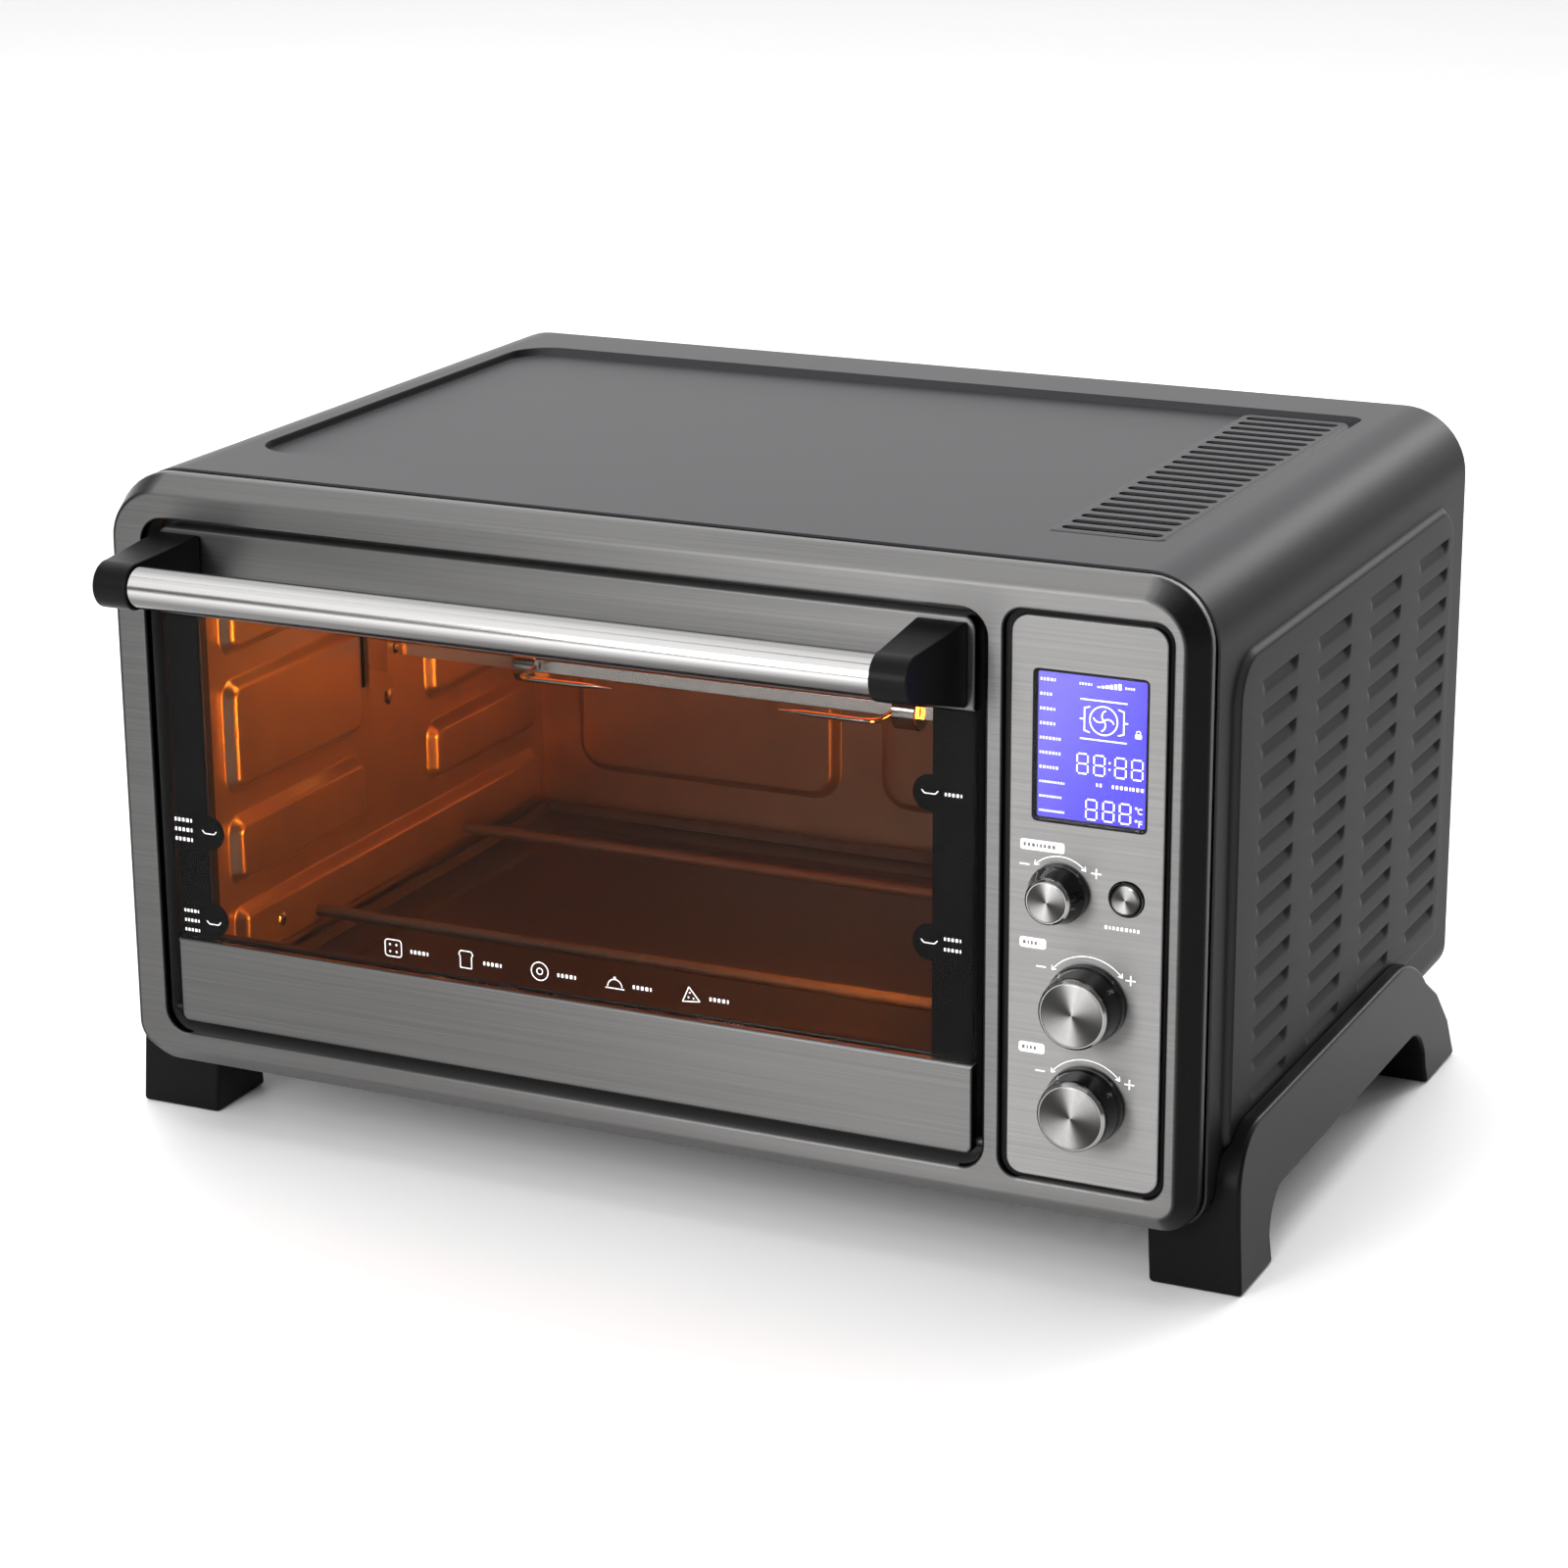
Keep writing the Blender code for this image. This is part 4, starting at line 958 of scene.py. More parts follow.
def ring_roll(marks, x, z):
    marks.ring((x, z), 0.0038, ICON_LINE)
    marks.ring((x, z), 0.0013, ICON_LINE)


def covered_dish(marks, x, z):
    marks.bar((x - 0.0042, z - 0.0022), (x + 0.0042, z - 0.0022), ICON_LINE)
    marks.band((x, z - 0.0016), 0.0032, 0, 180, ICON_LINE)
    marks.disc((x, z + 0.0022), 0.0006, 8)


def wedge(marks, x, z):
    line = [(x - 0.0038, z - 0.0030), (x + 0.0038, z - 0.0022), (x - 0.0010, z + 0.0034)]
    closed_line(marks, line)
    for dx, dz in ((-0.0012, -0.0010), (0.0010, -0.0012), (-0.0006, 0.0010)):
        marks.disc((x + dx, z + dz), 0.0004, 8)


# ---------------------------------------------------------------- controls
DIALS = ("function", "temperature", "time")


def make_control_panel():
    box = span("control_panel_plate")
    window = hole(round_box(span("display_lens"), 0.0020, grow=0.0003), 0.0007, 0.0003)
    button = hole(round_hole("button_ring"), 0.0018, 0.0003)
    outline = rounded(box.left - 0.0010, box.right, box.low, box.high, 0.0065)
    bm = plate(outline, box.front, box.back, 0.0007, [window, button])
    new_piece(
        "control_plate", bm, "panel_steel", "housing", "control_panel_plate", "front_steel",
        sheet=0.0008,
    )


def round_hole(node):
    """The round hole that a turned piece of the panel sits in."""
    box = span(node)
    return circle(middle_of(box, "xz"), (box.right - box.left) / 2 + 0.0002, 48)


def make_dial(name):
    body = f"{name}_dial"
    x, _, z = joint_place(f"{name}_turn")
    box = span(f"{name}_knob")
    base, height = (box.right - box.left) / 2, -box.front
    face = base - (0.0028 if name == "function" else 0.0019)
    at = front_axis(x, z)
    skirt = [(base - 0.0006, 0.0006), (base, 0.0010)]
    skirt += [(base - 0.0002, 0.0040), (base - 0.0007, 0.0052)]
    flank = [(face + 0.0004, height - 0.0030), (face + 0.0002, height - 0.0022)]
    line = [(0, 0.0006), (0.0030, 0.0006)] + fillet(skirt + flank, 0.0006, 4)
    line += [(face - 0.001, height - 0.0022), (0, height - 0.0022)]
    turned_piece(f"{name}_dial_body", line, at, 96, "knob_black", body, f"{name}_knob")

    ring = [(face - 0.0010, height - 0.0024), (face, height - 0.0024), (face, height - 0.0011)]
    ring += [(face - 0.0009, height - 0.0002), (face - 0.0013, height - 0.0002)]
    ring += [(face - 0.0013, height - 0.0010)]
    dress = ("rim_steel", body, None, "bright_steel")
    turned_piece(f"{name}_dial_rim", ring, at, 96, *dress, closed=True)

    cap = face - 0.0014
    disc = [(0, height - 0.0010), (cap, height - 0.0010), (cap, height - 0.0003)]
    disc += [(cap - 0.0003, height - 0.0001), (0.0008, height - 0.0001), (0, height - 0.0002)]
    turned_piece(f"{name}_dial_face", disc, at, 96, "knob_face", body, f"{name}_knob_cap")


def make_button():
    box = span("start_stop_button")
    radius, height = (box.right - box.left) / 2, -box.front
    at = front_axis(*middle_of(box, "xz"))
    crown = [(0, height - 0.0003), (radius * 0.5, height - 0.0001), (radius - 0.0009, height)]
    side = [(radius - 0.0002, height - 0.0005), (radius, height - 0.0012)]
    line, dress = crown + side + [(radius, -0.006), (0, -0.006)], ("knob_face", "start_stop_key")
    turned_piece("button_cap", line, at, 64, *dress, "start_stop_button")

    ring = span("button_ring")
    inner, outer, lift = radius + 0.0003, (ring.right - ring.left) / 2, -ring.front
    line = [(inner, -0.0034), (inner, lift - 0.0003), (inner + 0.0003, lift)]
    line += [(outer - 0.0003, lift), (outer, lift - 0.0003), (outer, -0.0034)]
    dress = ("knob_black", "housing", "button_ring")
    turned_piece("button_collar", line, at, 64, *dress, closed=True)


Marks = namedtuple(
    "Marks", "tag_left tag_middle tag_width letters arc_radius first last minus plus"
)
DIAL_MARKS = {
    "function": Marks(
        0.1643, 0.1772, 0.0176, 8, 0.0139, 43, 137, (0.1661, 0.1694), (0.1946, 0.1692)
    ),
    "temperature": Marks(
        0.1645, 0.1387, 0.0106, 4, 0.0180, 40, 143, (0.1732, 0.1298), (0.2089, 0.1293)
    ),
    "time": Marks(
        0.1646, 0.0969, 0.0104, 4, 0.0176, 40, 143, (0.1733, 0.0881), (0.2092, 0.0881)
    ),
}


def make_panel_print():
    """White tags, turn arrows and signs round the dials."""
    stroke, bold, sign, barb, splay = 0.00044, 0.00058, 0.0020, 0.0019, 34
    tag_half = 0.00205
    white = Print(span("control_panel_plate").front)
    dark = Print(white.front, 0.00003)
    for name in DIALS:
        x, _, z = joint_place(f"{name}_turn")
        mark = DIAL_MARKS[name]
        left, right, middle = mark.tag_left, mark.tag_left + mark.tag_width, mark.tag_middle
        tag = rounded(left, right, middle - tag_half, middle + tag_half, 0.0010, steps=4)
        white.shape(tag())
        dark.word(left + 0.0013, middle, 0.0023, mark.letters)
        white.band((x, z), mark.arc_radius, mark.first, mark.last, stroke, 28)
        for angle, back in ((mark.first, 90), (mark.last, -90)):
            tip = next(arc((x, z), mark.arc_radius, angle, angle, 1))
            for flare in (-splay, splay):
                way = math.radians(angle + back + flare)
                end = (tip[0] + barb * math.cos(way), tip[1] + barb * math.sin(way))
                white.bar(tip, end, stroke)
        for place, crossed in ((mark.minus, False), (mark.plus, True)):
            a, b = place
            white.bar((a - sign, b), (a + sign, b), bold)
            if crossed:
                white.bar((a, b - sign), (a, b + sign), bold)
    white.word(0.1982, 0.1490, 0.0023, 9)
    new_piece("panel_marks", white.bm, "white_print", "housing", slot="front_steel")
    new_piece("panel_tag_words", dark.bm, "grey_print", "housing", slot="front_steel")


def make_display():
    """The mask, the gasket and the symbols between the display's module and its lens."""
    lens = span("display_lens")
    mask = lens.back + 0.00030
    opening = round_box(lens, 0.0016, 3, -0.0001)
    bm = bmesh.new()
    border = loop(bm, facing_front, round_box(lens, 0.0018, 3, 0.0020)(), mask)
    pane(bm, facing_front, border, mask, [hole(lambda inset=0.0: opening(inset + 0.0007))])
    new_piece("display_mask", bm, "black_ink", "housing", slot="display_black", sheet=0.00005)

    front, width = span("control_panel_plate").front - 0.00004, 0.00064
    line = [(0, front + 0.0001), (0, front), (width, front), (width, front + 0.0015)]
    bm = bmesh.new()
    lofted(bm, facing_front, round_box(lens, 0.0022, 4, 0.0007), line)
    new_piece("display_gasket", bm, "black_ink", "housing", slot="display_black", sheet=0.00003)
    make_display_symbols(lens)


def make_display_symbols(lens):
    """The lit symbols; places and most sizes are shares of the lens."""
    width, height = lens.right - lens.left, lens.high - lens.low
    marks = Print(lens.back + 0.00018)

    def at(a, b):
        return lens.left + width * a, lens.low + height * b

    for row, letters in enumerate((5, 4, 5, 5, 7, 7, 6, 10, 9, 10)):
        size = height * 0.040 * (0.64 if letters > 8 else 0.8)
        marks.word(*at(0.038, 0.935 - 0.0975 * row), size, letters)
    for left, letters in ((0.385, 5), (0.787, 4)):
        marks.word(*at(left, 0.933), height * 0.026, letters)
    for k in range(6):
        x, low = at(0.555 + 0.037 * k, 0.917)
        left, right, top = x - 0.0006, x + 0.0006, low + 0.0006 + 0.00035 * k
        marks.shape([(left, low), (right, low), (right, top), (left, top)])
    line = 0.00055
    for b in (0.832, 0.571):
        marks.bar(at(0.395, b), at(0.808, b), line)

    x, z = at(0.602, 0.702)
    blade = height * 0.042
    marks.ring((x, z), height * 0.094, line)
    for k in range(4):
        angle = math.radians(90 * k + 45)
        middle = (x + blade * math.cos(angle), z + blade * math.sin(angle))
        marks.band(middle, blade, 90 * k + 225, 90 * k + 110, line, 8)
    for inner, outer, tip in ((0.480, 0.432, 0.390), (0.730, 0.780, 0.817)):
        marks.bar(at(inner, 0.787), at(outer, 0.775), line)
        marks.bar(at(outer, 0.780), at(outer, 0.622), line)
        marks.bar(at(outer, 0.627), at(inner, 0.615), line)
        marks.bar(at(outer, 0.702), at(tip, 0.702), line)
    x, z = at(0.910, 0.632)
    lock = rounded(x - 0.0013, x + 0.0013, z - 0.0013, z + 0.0006, 0.0005, steps=2)
    marks.shape(lock())
    marks.band((x, z + 0.0009), 0.0008, 0, 180, 0.0004, 8)

    digit = (width * 0.095, height * 0.132, 0.00062)
    for left in (0.373, 0.523, 0.710, 0.858):
        marks.digit(*at(left, 0.337), *digit)
    for b in (0.428, 0.384):
        marks.disc(at(0.661, b), 0.00045, 8)
    for left in (0.458, 0.610, 0.757):
        marks.digit(*at(left, 0.036), *digit)
    for left, letters in ((0.545, 2), (0.685, 5), (0.862, 3)):
        marks.word(*at(left, 0.272), height * 0.040, letters)
    for b in (0.135, 0.050):
        marks.ring(at(0.903, b + 0.014), 0.00040, 0.00025)
    marks.band(at(0.942, 0.130), 0.0010, 50, 310, 0.00038, 10)
    x, z = at(0.930, 0.046)
    marks.bar((x, z - 0.0012), (x, z + 0.0012), 0.00038)
    for lift in (0.0011, 0.0001):
        marks.bar((x, z + lift), (x + 0.0012, z + lift), 0.00038)
    new_piece("display_symbols", marks.bm, "lit_print", "housing", slot="display_black")


# ---------------------------------------------------------------- feet
def foot_line(box):
    """Side view of a foot: two legs, an arch between them and a skirt along the body."""
    front, rear, top = box.front, box.back, box.high
    arch = 0.0275
    line = [(front + 0.0004, 0.0), (front + 0.001, 0.028)]
    line += arc((front + 0.0285, top - 0.0265), 0.0265, 170, 90, 12)
    line += arc((rear - 0.078, top - 0.052), 0.052, 90, 42, 10)
    line += [(rear - 0.0235, 0.0355), (rear - 0.0085, 0.0185), (rear - 0.0003, 0.0)]
    line += [(rear - 0.041, 0.0), (rear - 0.044, 0.008)]
    line += arc((rear - 0.062, arch - 0.018), 0.018, 15, 90, 10)
    line += arc((front + 0.054, arch - 0.018), 0.018, 90, 172, 10)
    line += [(front + 0.038, 0.0)]
    return line


def make_feet():
    body = span("wrap_cover")
    clear, lean = -0.0004, 0.0035
    wide = clear - PANEL_RISE
    stations = (
        (clear, -0.05),
        (clear, PANEL_FRONT),
        (wide, PANEL_FRONT + PANEL_SLOPE),
        (wide, PANEL_REAR - PANEL_SLOPE),
        (clear, PANEL_REAR),
        (clear, body.back + 0.02),
    )
    for side, node in ((-1, "foot_left"), (1, "foot_right")):
        box = span(node)
        inner, outer = (box.left, box.right) if side > 0 else (-box.right, -box.left)
        bm = bmesh.new()
        prism(bm, foot_line(box), inner + lean, outer, facing_side)
        for vert in bm.verts:
            vert.co.x = (vert.co.x - lean * vert.co.z / box.high) * side
        hull = bmesh.new()
        loops = lofted(hull, facing_front, round_box(body, 0.014), stations)
        hull.faces.new(loops[0])
        hull.faces.new(loops[-1])
        name = f"{node}_moulding"
        new_piece(name, bm, "black_plastic", "housing", node, bevel=0.0016, cutter=hull)


# ---------------------------------------------------------------- oven cavity
PAD_SLOPE, PAD_RISE = 0.0055, 0.0048
UPPER_HEATERS = ("upper_heater_front", "upper_heater_rear")
REAR_SHEET = 0.0012


def pad(front, back, low, high, corner=0.008):
    return pressed(rounded(front, back, low, high, corner, steps=5), PAD_SLOPE, PAD_RISE)


def side_pads():
    """Raised pads at the front of a side wall and along its foot; shelves slide between them."""
    for low, high in ((0.2005, 0.2520), (0.1405, 0.1905), (0.1000, 0.1315)):
        yield pad(0.0250, 0.1330, low, high)
    yield pad(0.0265, 0.2900, 0.0640, 0.0915, 0.006)


def wall_border(bm, place, left, right, low, high):
    return loop(bm, place, [(left, low), (right, low), (right, high), (left, high)], 0)


def make_side_wall(name, side):
    wall = span(name)
    inner = wall.right if side < 0 else wall.left
    bm = bmesh.new()

    def place(a, b, height):
        return Vector((inner - side * height, a, b))

    border = wall_border(bm, place, wall.front, wall.back, wall.low, wall.high)
    features = list(side_pads())
    if side < 0:
        rear_pads = ((0.1385, 0.2520), (0.1000, 0.1290))
        openings = [hole(rounded(0.1360, 0.1570, 0.1590, 0.1900, 0.0010, 2))]
    else:
        rear_pads = ((0.2000, 0.2520), (0.1520, 0.1900))
        openings = [*fan_slots(), hole(circle((0.150, 0.176), 0.0078, 24))]
    features += [pad(0.1890, 0.2900, low, high) for low, high in rear_pads]
    pane(bm, place, border, 0.0, features + openings)
    new_piece(f"{name}_pressing", bm, "liner", "housing", name, sheet=0.0009)
    if side < 0:
        bm = bmesh.new()
        outline = rounded(0.1320, 0.1610, 0.1550, 0.1940, 0.002, steps=2)()
        prism(bm, outline, inner - 0.0030, inner - 0.0022, facing_side)
        new_piece("cutout_backing", bm, "black_ink", "housing", slot="black_enamel")


def fan_slots():
    """Upright slots in front of the convection fan."""
    _, y, z = joint_place("fan_turn")
    for k in range(-2, 3):
        middle = y + 0.0125 * k
        yield hole(rounded(middle - 0.0025, middle + 0.0025, z - 0.0180, z + 0.0300, 0.0024, 4))


def make_back_wall():
    wall = span("cavity_back")
    bm = bmesh.new()

    def place(a, b, height):
        return Vector((a, wall.front - height, b))

    border = wall_border(bm, place, wall.left, wall.right, wall.low, wall.high)
    (middle,) = middle_of(wall, "x")
    features = [
        pad(*sides, low, high, 0.014)
        for low, high in ((0.1780, 0.2450), (0.0800, 0.1650))
        for sides in ((wall.left + 0.022, middle - 0.010), (middle + 0.010, wall.right - 0.022))
    ]
    pane(bm, place, border, 0.0, features)
    new_piece("cavity_back_pressing", bm, "liner", "housing", "cavity_back", sheet=0.0009)


def make_tray():
    """The crumb tray: a turned-up rim round a sunken middle."""
    box = span("crumb_tray")
    bm = bmesh.new()
    outline = rounded(box.left, box.right, box.front, box.back, 0.004)
    rim = [(0.0, box.low + 0.0010), (0.0, box.high - 0.0008), (0.0008, box.high)]
    rim += [(0.0026, box.high), (0.0034, box.high - 0.0008), (0.0050, box.low + 0.0034)]
    loops = lofted(bm, facing_up, outline, rim)
    margin = 0.022
    well = rounded(
        box.left + margin, box.right - margin, box.front + margin, box.back - margin, 0.014
    )
    pane(bm, facing_up, loops[-1], box.low + 0.0034, [pressed(well, 0.004, -0.0022)])
    new_piece(
        "crumb_tray_pressing", bm, "tray", "housing", "crumb_tray", "black_enamel", sheet=0.0008
    )


def make_heaters():
    sleeve, lap = 0.016, 0.001
    for node in (*UPPER_HEATERS, "lower_heater_front", "lower_heater_rear"):
        box = span(node)
        at, radius = side_axis(*middle_of(box, "yz")), (box.back - box.front) / 2
        first, last = box.left + sleeve, box.right - sleeve
        look = "hot_sheath" if node in UPPER_HEATERS else "heater_sheath"
        dress = (look, "housing", node, "heater_sheath")
        turned_piece(f"{node}_rod", bar_profile(radius * 0.82, first, last), at, 24, *dress)
        bm = bmesh.new()
        for end, inner in ((box.left, first + lap), (box.right, last - lap)):
            turned(bm, bar_profile(radius, end, inner), at, 24)
        new_piece(f"{node}_sleeves", bm, "heater_sheath", "housing")
    make_heater_clips()


def make_heater_clips():
    """Folded hangers that carry the upper rods from the roof at mid span."""
    roof = span("cavity_roof").low
    outer, inner = 0.0046, 0.0036
    for node in UPPER_HEATERS:
        y, z = middle_of(span(node), "yz")
        for x, side in ((-0.105, "left"), (0.035, "right")):
            line = [(y - outer, roof), (y - outer, z), *arc((y, z), outer, 180, 360, 10)]
            line += [(y + outer, roof), (y + inner, roof), (y + inner, z)]
            line += [*arc((y, z), inner, 360, 180, 10), (y - inner, roof)]
            bm = bmesh.new()
            prism(bm, line, x - 0.002, x + 0.002, facing_side)
            new_piece(f"{node}_clip_{side}", bm, "bright_steel", "housing")


def make_spit():
    """A square bar with a pointed journal, two forks clamped to it and the drive socket."""
    _, y, z = joint_place("spit_turn")
    box = span("spit_rod")
    half = (box.high - box.low) / 2
    at = side_axis(y, z)
    bm = bmesh.new()
    journal = 0.010
    point = [(0, box.left), (0.0012, box.left), (0.0023, box.left + 0.002)]
    end = box.left + journal + 0.001
    turned(bm, point + [(0.0023, end), (0, end)], at, 24)
    outline = rounded(y - half, y + half, z - half, z + half, 0.0004, steps=2)()
    prism(bm, outline, box.left + journal, box.right, facing_side)
    new_piece("spit_bar", bm, "bright_steel", "spit", "spit_rod")

    for direction, tag in ((1, "left"), (-1, "right")):
        make_fork(f"spit_fork_{tag}", direction, y, z)
        make_fork_screw(f"spit_screw_{tag}", y, z)

    socket = span("spit_drive_socket")
    line = [(0.0045, socket.left), (0.0064, socket.left), (0.0070, socket.left + 0.0008)]
    line += [(0.0070, socket.right), (0.0045, socket.right)]
    dress = ("bright_steel", "spit", "spit_drive_socket")
    turned_piece("spit_socket", line, at, 40, *dress, closed=True)


def make_fork(node, direction, y, z):
    """A hub on the bar with a bent and pointed prong on each side."""
    fork = span(node)
    hub_end, tip = (fork.left, fork.right) if direction > 0 else (fork.right, fork.left)
    long, soft = 0.0112, 0.0006
    hub = [(0.0038, 0.0), (0.0080, 0.0), (0.0085, soft), (0.0085, 0.0106), (0.0080, long)]
    bm = bmesh.new()
    ring = [(r, hub_end + direction * h) for r, h in hub + [(0.0038, long)]]
    turned_ring(bm, ring, side_axis(y, z), 32)
    plane, reach = hub_end + direction * long, fork.back - y - 0.0012
    for side in (-1, 1):
        line = [(plane, y + side * 0.0070, z), (plane, y + side * reach, z)]
        line.append((tip, y + side * (reach - 0.001), z))
        rod_along(bm, fillet(line, 0.008, 6), 0.0012, taper=0.012)
    new_piece(f"{node}_wire", bm, "bright_steel", "spit", node)


def make_fork_screw(node, y, z):
    screw = span(node)
    (x,) = middle_of(screw, "x")
    head = [(0, screw.high), (0.0040, screw.high), (0.0052, screw.high - 0.0012)]
    head += [(0.0052, z + 0.0142), (0.0042, z + 0.0132)]
    head += [(0.0019, z + 0.0130), (0.0019, screw.low), (0, screw.low)]
    bm = bmesh.new()
    turned(bm, head, lambda u, v, height: Vector((x + u, y + v, height)), 24)
    for vert in bm.verts:
        spoke = math.atan2(vert.co.y - y, vert.co.x - x)
        if vert.co.z > z + 0.0141 and (vert.co.xy - Vector((x, y))).length > 0.0045:
            grip = 1 + 0.05 * math.cos(12 * spoke)
            vert.co.x = x + (vert.co.x - x) * grip
            vert.co.y = y + (vert.co.y - y) * grip
    new_piece(f"{node}_knurled", bm, "bright_steel", "spit", node)


def rod_along(bm, route, radius, taper=0.0, sides=10):
    """A round wire along a route in space, drawn to a point over its last stretch."""
    route = [Vector(point) for point in route]
    left = [0.0]
    for start, end in zip(route[::-1], route[-2::-1]):
        left.append(left[-1] + (end - start).length)
    left = left[::-1]
    if taper:
        tail = route[-1] + (route[-2] - route[-1]).normalized() * taper
        route.insert(-1, tail)
        left.insert(-1, taper)
    rings = []
    for k, point in enumerate(route):
        run = (route[min(k + 1, len(route) - 1)] - route[max(k - 1, 0)]).normalized()
        across = run.cross(Vector((0, 0, 1))).normalized()
        up = run.cross(across)
        size = radius * (max(0.12, min(1.0, left[k] / taper)) if taper else 1.0)
        angles = [2 * math.pi * j / sides for j in range(sides)]
        spokes = [across * math.cos(a) + up * math.sin(a) for a in angles]
        rings.append([bm.verts.new(point + spoke * size) for spoke in spokes])
    for first, second in zip(rings, rings[1:]):
        bridge(bm, first, second)
    bm.faces.new(rings[0])
    bm.faces.new(rings[-1])


def make_small_round_parts():
    """The temperature probe and the door's pins."""
    box = span("temperature_probe")
    line = [(0, box.left), (0.0012, box.left + 0.0002), (0.0019, box.left + 0.0012)]
    line += [(0.0019, box.right), (0, box.right)]
    at, dress = side_axis(*middle_of(box, "yz")), ("bright_steel", "housing", "temperature_probe")
    turned_piece("probe_tube", line, at, 20, *dress)

    for side in ("left", "right"):
        node = f"hinge_pin_{side}"
        box = span(node)
        profile = bar_profile((box.high - box.low) / 2, box.left, box.right)
        dress = ("steel_return", "door", node, "bright_steel")
        turned_piece(f"door_pin_{side}", profile, side_axis(*middle_of(box, "yz")), 24, *dress)


def screw_head(bm, place, radius=0.0032, base=0.0, height=0.0014):
    line = [(0, base), (radius, base), (radius * 0.92, base + height * 0.55)]
    line += [(radius * 0.6, base + height * 0.9), (0, base + height)]
    turned(bm, line, place, 20)


def make_wall_screws():
    """Two screws in the cavity's left wall, and the raised ring round the lower one."""
    left = span("cavity_left_wall").right
    ring_y, ring_z = 0.0570, 0.0780

    def on_wall(y, z):
        return lambda u, v, height: Vector((left + height, y + u, z + v))

    bm = bmesh.new()
    screw_head(bm, on_wall(ring_y, ring_z), 0.0034, PAD_RISE, 0.0018)
    screw_head(bm, on_wall(0.1585, 0.1500), 0.0042, 0.0, 0.0018)
    new_piece("cavity_screws", bm, "bright_steel", "housing")

    top = PAD_RISE + 0.0007
    dome = [(0.0046, PAD_RISE), (0.0060, top), (0.0072, top), (0.0086, PAD_RISE)]
    at = on_wall(ring_y, ring_z)
    turned_piece("wall_boss", dome, at, 32, "liner", "housing", closed=True)


def make_frame_border():
    """The black paint on the face of the cavity's front frame, short of its opening."""
    box = span("front_frame")
    thick, gap = 0.0004, 0.00002
    opening = rounded(
        box.left + 0.0150, box.right - 0.0205, box.low + 0.0210, box.high - 0.0175, 0.0010
    )
    bm = plate(
        round_box(box, 0.0095), box.front - thick, box.front - gap, 0.0001,
        [hole(opening, thick - gap, 0.0001)],
    )
    new_piece("frame_border", bm, "black_enamel", "housing")


def make_rear_screws():
    """Screws along the rear panel's top and bottom, but for the top corners."""
    rear = span("rear_panel")
    back = rear.front + REAR_SHEET
    bm = bmesh.new()
    for x in (-0.215, -0.08, 0.06, 0.215):
        for z in (rear.low + 0.018, rear.high - 0.018):
            if abs(x) < 0.2 or z < 0.2:
                screw_head(bm, lambda u, v, h, x=x, z=z: Vector((x + u, back + h, z + v)))
    new_piece("rear_screws", bm, "steel_return", "housing", slot="bright_steel")


# ---------------------------------------------------------------- back
def make_rear_panel():
    box, gland = span("rear_panel"), span("cord_gland")
    back = box.front + REAR_SHEET
    bm = bmesh.new()

    def place(a, b, height):
        return Vector((a, back + height, b))

    grilles = [
        hole(rounded(x, x + 0.040, z, z + 0.0040, 0.0019, steps=3), -0.0004)
        for x in (0.060, 0.120)
        for z in (0.120 + 0.012 * k for k in range(5))
    ]
    gland_place = middle_of(gland, "xz")
    gland_hole = hole(circle(gland_place, 0.0082, 24))
    field = pressed(rounded(-0.200, 0.030, 0.060, 0.250, 0.016), 0.004, -0.002)
    outline = round_box(box, (0.0125, 0.0265, 0.0265, 0.0125))
    loops = lofted(bm, place, outline, [(0.0, -REAR_SHEET), (0.0, -0.0004), (0.0004, 0.0)])
    pane(bm, place, loops[-1], 0.0, [*grilles, gland_hole, field])
    new_piece("rear_sheet", bm, "rear_paint", "housing", "rear_panel", sheet=0.0009)

    bm = bmesh.new()
    line = [(0, back + 0.0001), (0.0110, back + 0.0001), (0.0108, box.back - 0.0014)]
    line += [(0.0096, box.back), (0, box.back)]
    for x in (-0.17, 0.17):
        turned(bm, line, rear_axis(x, 0.205), 40)
    new_piece("wall_spacers", bm, "black_plastic", "housing")

    line = [(0.0040, gland.front), (0.0078, gland.front), (0.0078, back + 0.0002)]
    line += [(0.0110, back + 0.0002), (0.0110, gland.back - 0.0012), (0.0070, gland.back)]
    line += [(0.0044, gland.back), (0.0040, gland.back - 0.0004)]
    at, dress = rear_axis(*gland_place), ("black_plastic", "housing", "cord_gland")
    turned_piece("cord_bush", line, at, 40, *dress, closed=True)


# ---------------------------------------------------------------- carried-over CAD nodes
NODE_LOOKS = {
    "control_housing": "black_ink",
    "cavity_roof": "liner",
    "front_frame": "liner",
    "hinge_bracket_left": "black_enamel",
    "hinge_bracket_right": "black_enamel",
}


def dress_cad_nodes():
    slots = {part["node"]: part["material_slot"] for part in frame["record"]["subparts"]}
    for name, obj in frame["nodes"].items():
        obj.data.materials.clear()
        obj.data.materials.append(LOOKS[NODE_LOOKS.get(name, slots[name])])


# ---------------------------------------------------------------- scene
CAMERA_PLACE = Vector((0.6978, -1.3289, 0.6445))
CAMERA_AZIMUTH, CAMERA_ELEVATION, CAMERA_ROLL = 25.383, 17.246, 0.406
LENS_MM = 92.9


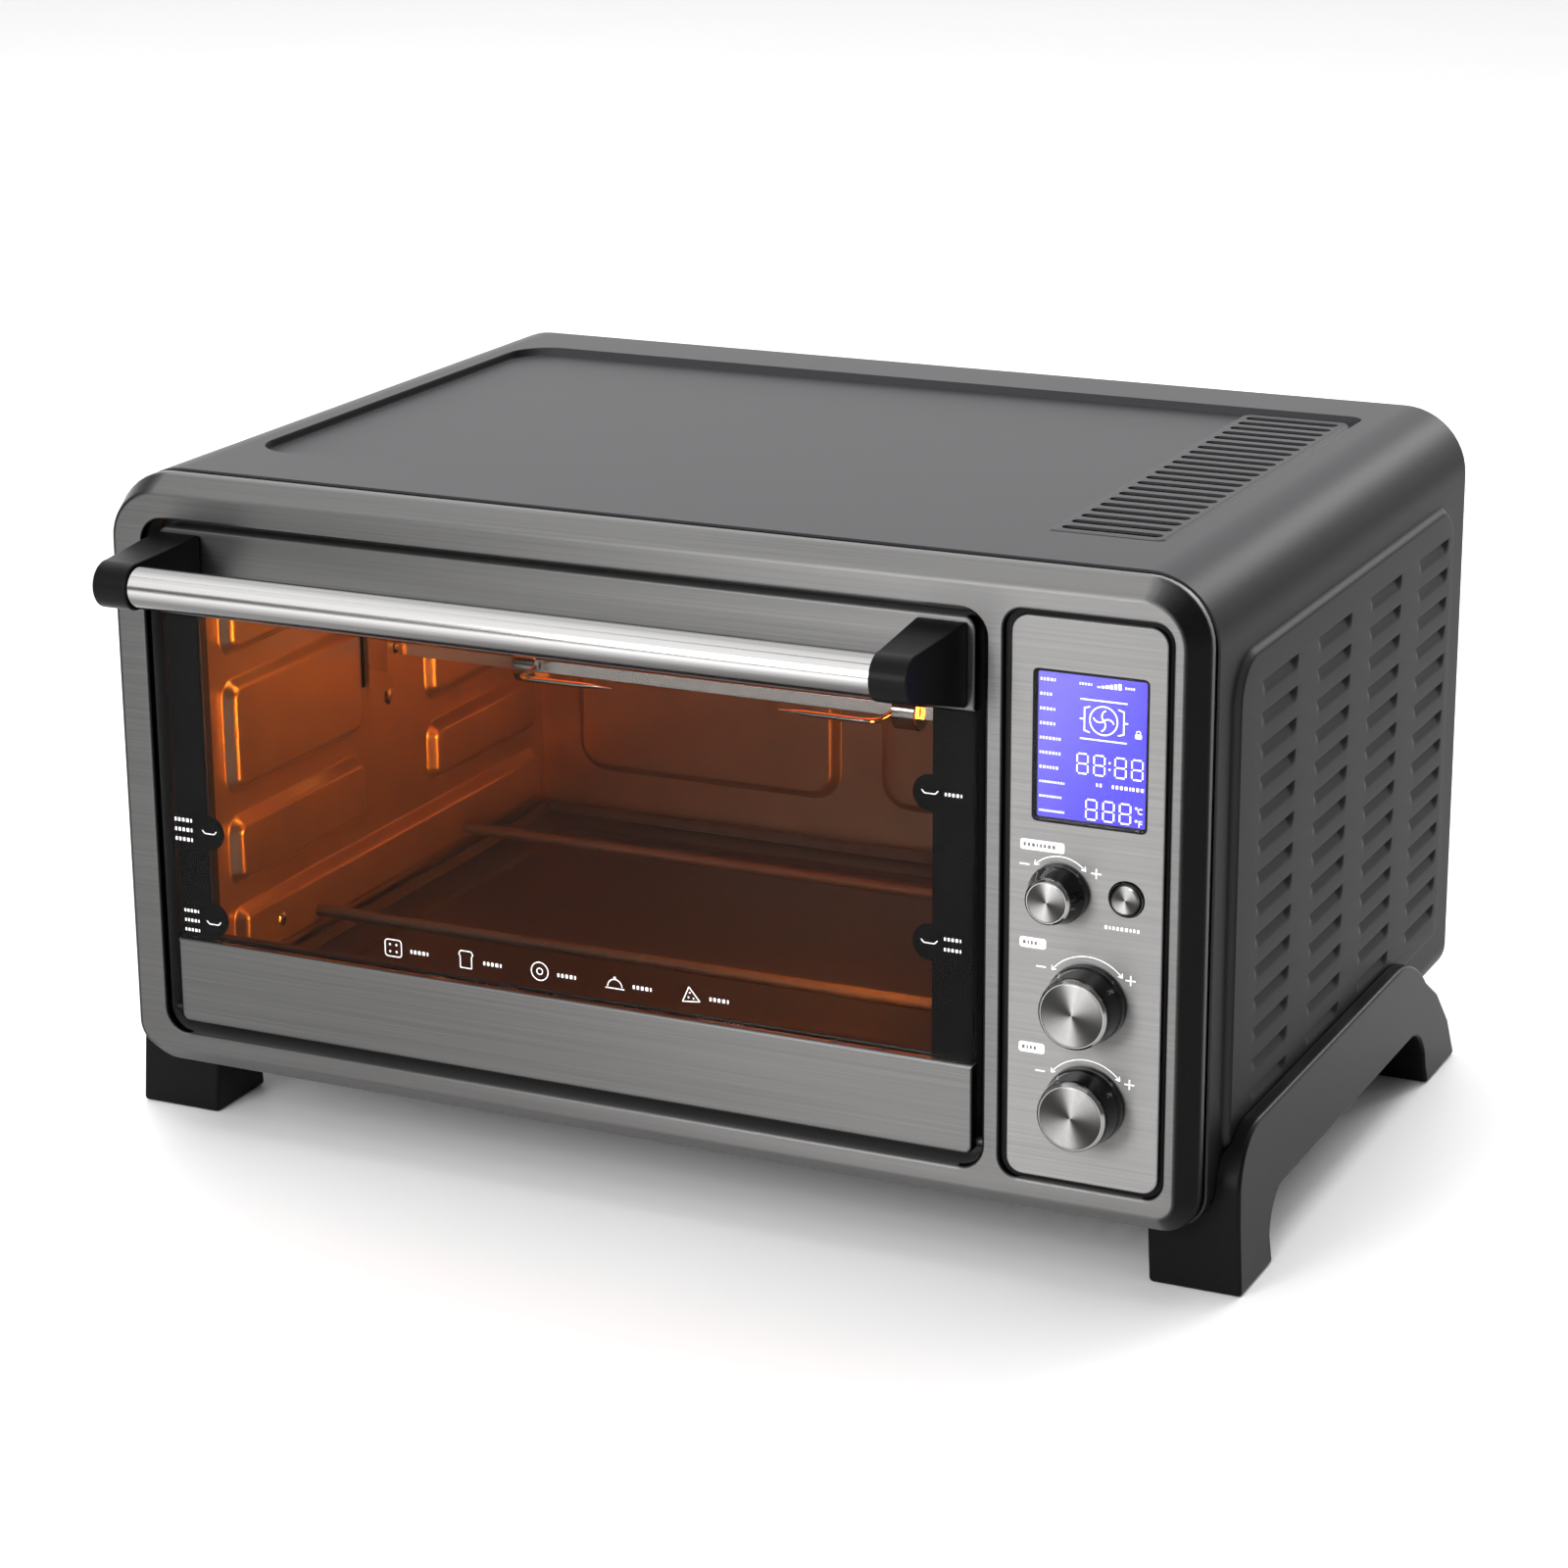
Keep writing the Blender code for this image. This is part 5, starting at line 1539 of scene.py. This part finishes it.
def make_camera():
    azimuth, elevation = math.radians(CAMERA_AZIMUTH), math.radians(CAMERA_ELEVATION)
    level = math.cos(elevation)
    back = Vector((math.sin(azimuth) * level, -math.cos(azimuth) * level, math.sin(elevation)))
    right = Vector((math.cos(azimuth), math.sin(azimuth), 0))
    turn = Matrix((right, back.cross(right), back)).transposed().to_4x4()
    camera = bpy.data.objects.new("camera", bpy.data.cameras.new("camera"))
    camera.data.lens = LENS_MM
    camera.data.sensor_width = 36
    roll = Matrix.Rotation(math.radians(-CAMERA_ROLL), 4, "Z")
    camera.matrix_world = Matrix.Translation(CAMERA_PLACE + Vector((0, FRONT_Y, 0))) @ turn @ roll
    bpy.context.scene.collection.objects.link(camera)
    bpy.context.scene.camera = camera


def area_light(name, place, target, size, power, colour=(1, 1, 1), size_y=None, spread=180):
    data = bpy.data.lights.new(name, "AREA")
    data.energy = power
    data.color = colour
    data.shape = "RECTANGLE"
    data.size = size
    data.size_y = size_y or size
    data.spread = math.radians(spread)
    lamp = bpy.data.objects.new(name, data)
    place, target = Vector(place), Vector(target)
    lamp.location = place
    lamp.rotation_euler = (target - place).to_track_quat("-Z", "Y").to_euler()
    bpy.context.scene.collection.objects.link(lamp)


def make_world():
    """A studio that is bright above and behind the oven and dark in front of it."""
    world = bpy.data.worlds.new("studio")
    bpy.context.scene.world = world
    world.use_nodes = True
    where = {0: coordinates(world, "Generated"), 1: (-0.30, 0.92, 0.25)}
    towards = add_node(world, "VectorMath", where, operation="DOT_PRODUCT").outputs["Value"]
    limits = {"From Min": 0.12, "From Max": 0.95, "To Min": 0.22, "To Max": 1.9}
    fade = {"Value": towards, **limits}
    spread = add_node(world, "MapRange", fade, interpolation_type="SMOOTHSTEP")
    background = world.node_tree.nodes["Background"].inputs
    world.node_tree.links.new(spread.outputs["Result"], background["Strength"])
    background["Color"].default_value = (1, 1, 1, 1)


def make_floor():
    mesh = bpy.data.meshes.new("floor")
    bm = bmesh.new()
    bmesh.ops.create_grid(bm, x_segments=1, y_segments=1, size=6)
    bm.to_mesh(mesh)
    bm.free()
    floor = bpy.data.objects.new("floor", mesh)
    floor.location.z = -0.0002
    bpy.context.scene.collection.objects.link(floor)
    paper = new_material("studio_floor", (0.93, 0.93, 0.93), 0.55)
    floor.data.materials.append(grain(paper, 3, 0.01, 0.02, 0.0))


def make_lights():
    area_light("key", (-0.45, -1.75, 0.62), (0.1, 0, 0.12), 0.6, 15)
    area_light("overhead", (-0.35, -1.65, 1.45), (0, 0, 0.15), 2.6, 22, size_y=1.8)
    area_light("near", (0.36, -1.55, 1.05), (0.15, 0, 0.12), 0.35, 5)
    area_light("rim", (0.80, 2.0, 1.15), (0, 0, 0.2), 0.8, 17, size_y=0.6)
    area_light("floor_wash", (-0.7, 0.7, 2.8), (-0.7, 0.7, 0), 3.4, 62)
    cavity = span("cavity_roof")
    front, back, roof = cavity.front + FRONT_Y, cavity.back + FRONT_Y, cavity.low
    amber, straw, ember = (1.0, 0.27, 0.02), (1.0, 0.42, 0.05), (1.0, 0.14, 0.01)
    place, target = (0.118, front + 0.040, 0.120), (-0.203, front + 0.10, 0.150)
    area_light("oven_front", place, target, 0.06, 1.1, amber, spread=130)
    place, target = (-0.150, front + 0.050, roof - 0.014), (-0.203, front + 0.07, 0.190)
    area_light("oven_left", place, target, 0.05, 0.10, straw, spread=140)
    middle = (front + back) / 2
    place, target = (-0.03, middle, roof - 0.012), (-0.03, middle + 0.01, 0.10)
    area_light("oven_top", place, target, 0.24, 0.22, ember, size_y=0.08)


make_cover()
make_bezel()
make_strip("top_rail", "door_top_strip", 0.0002, 0.0045)
make_strip("bottom_rail", "door_bottom_strip", 0.0030, 0.0002)
make_door_frames()
make_handle()
make_door_glass()
make_control_panel()
for dial in DIALS:
    make_dial(dial)
make_button()
make_panel_print()
make_display()
make_feet()
make_side_wall("cavity_left_wall", -1)
make_side_wall("cavity_right_wall", 1)
make_back_wall()
make_tray()
make_heaters()
make_spit()
make_small_round_parts()
make_wall_screws()
make_frame_border()
make_rear_screws()
make_rear_panel()
dress_cad_nodes()

make_camera()
make_world()
make_floor()
make_lights()
bpy.context.scene.view_settings.view_transform = "Standard"
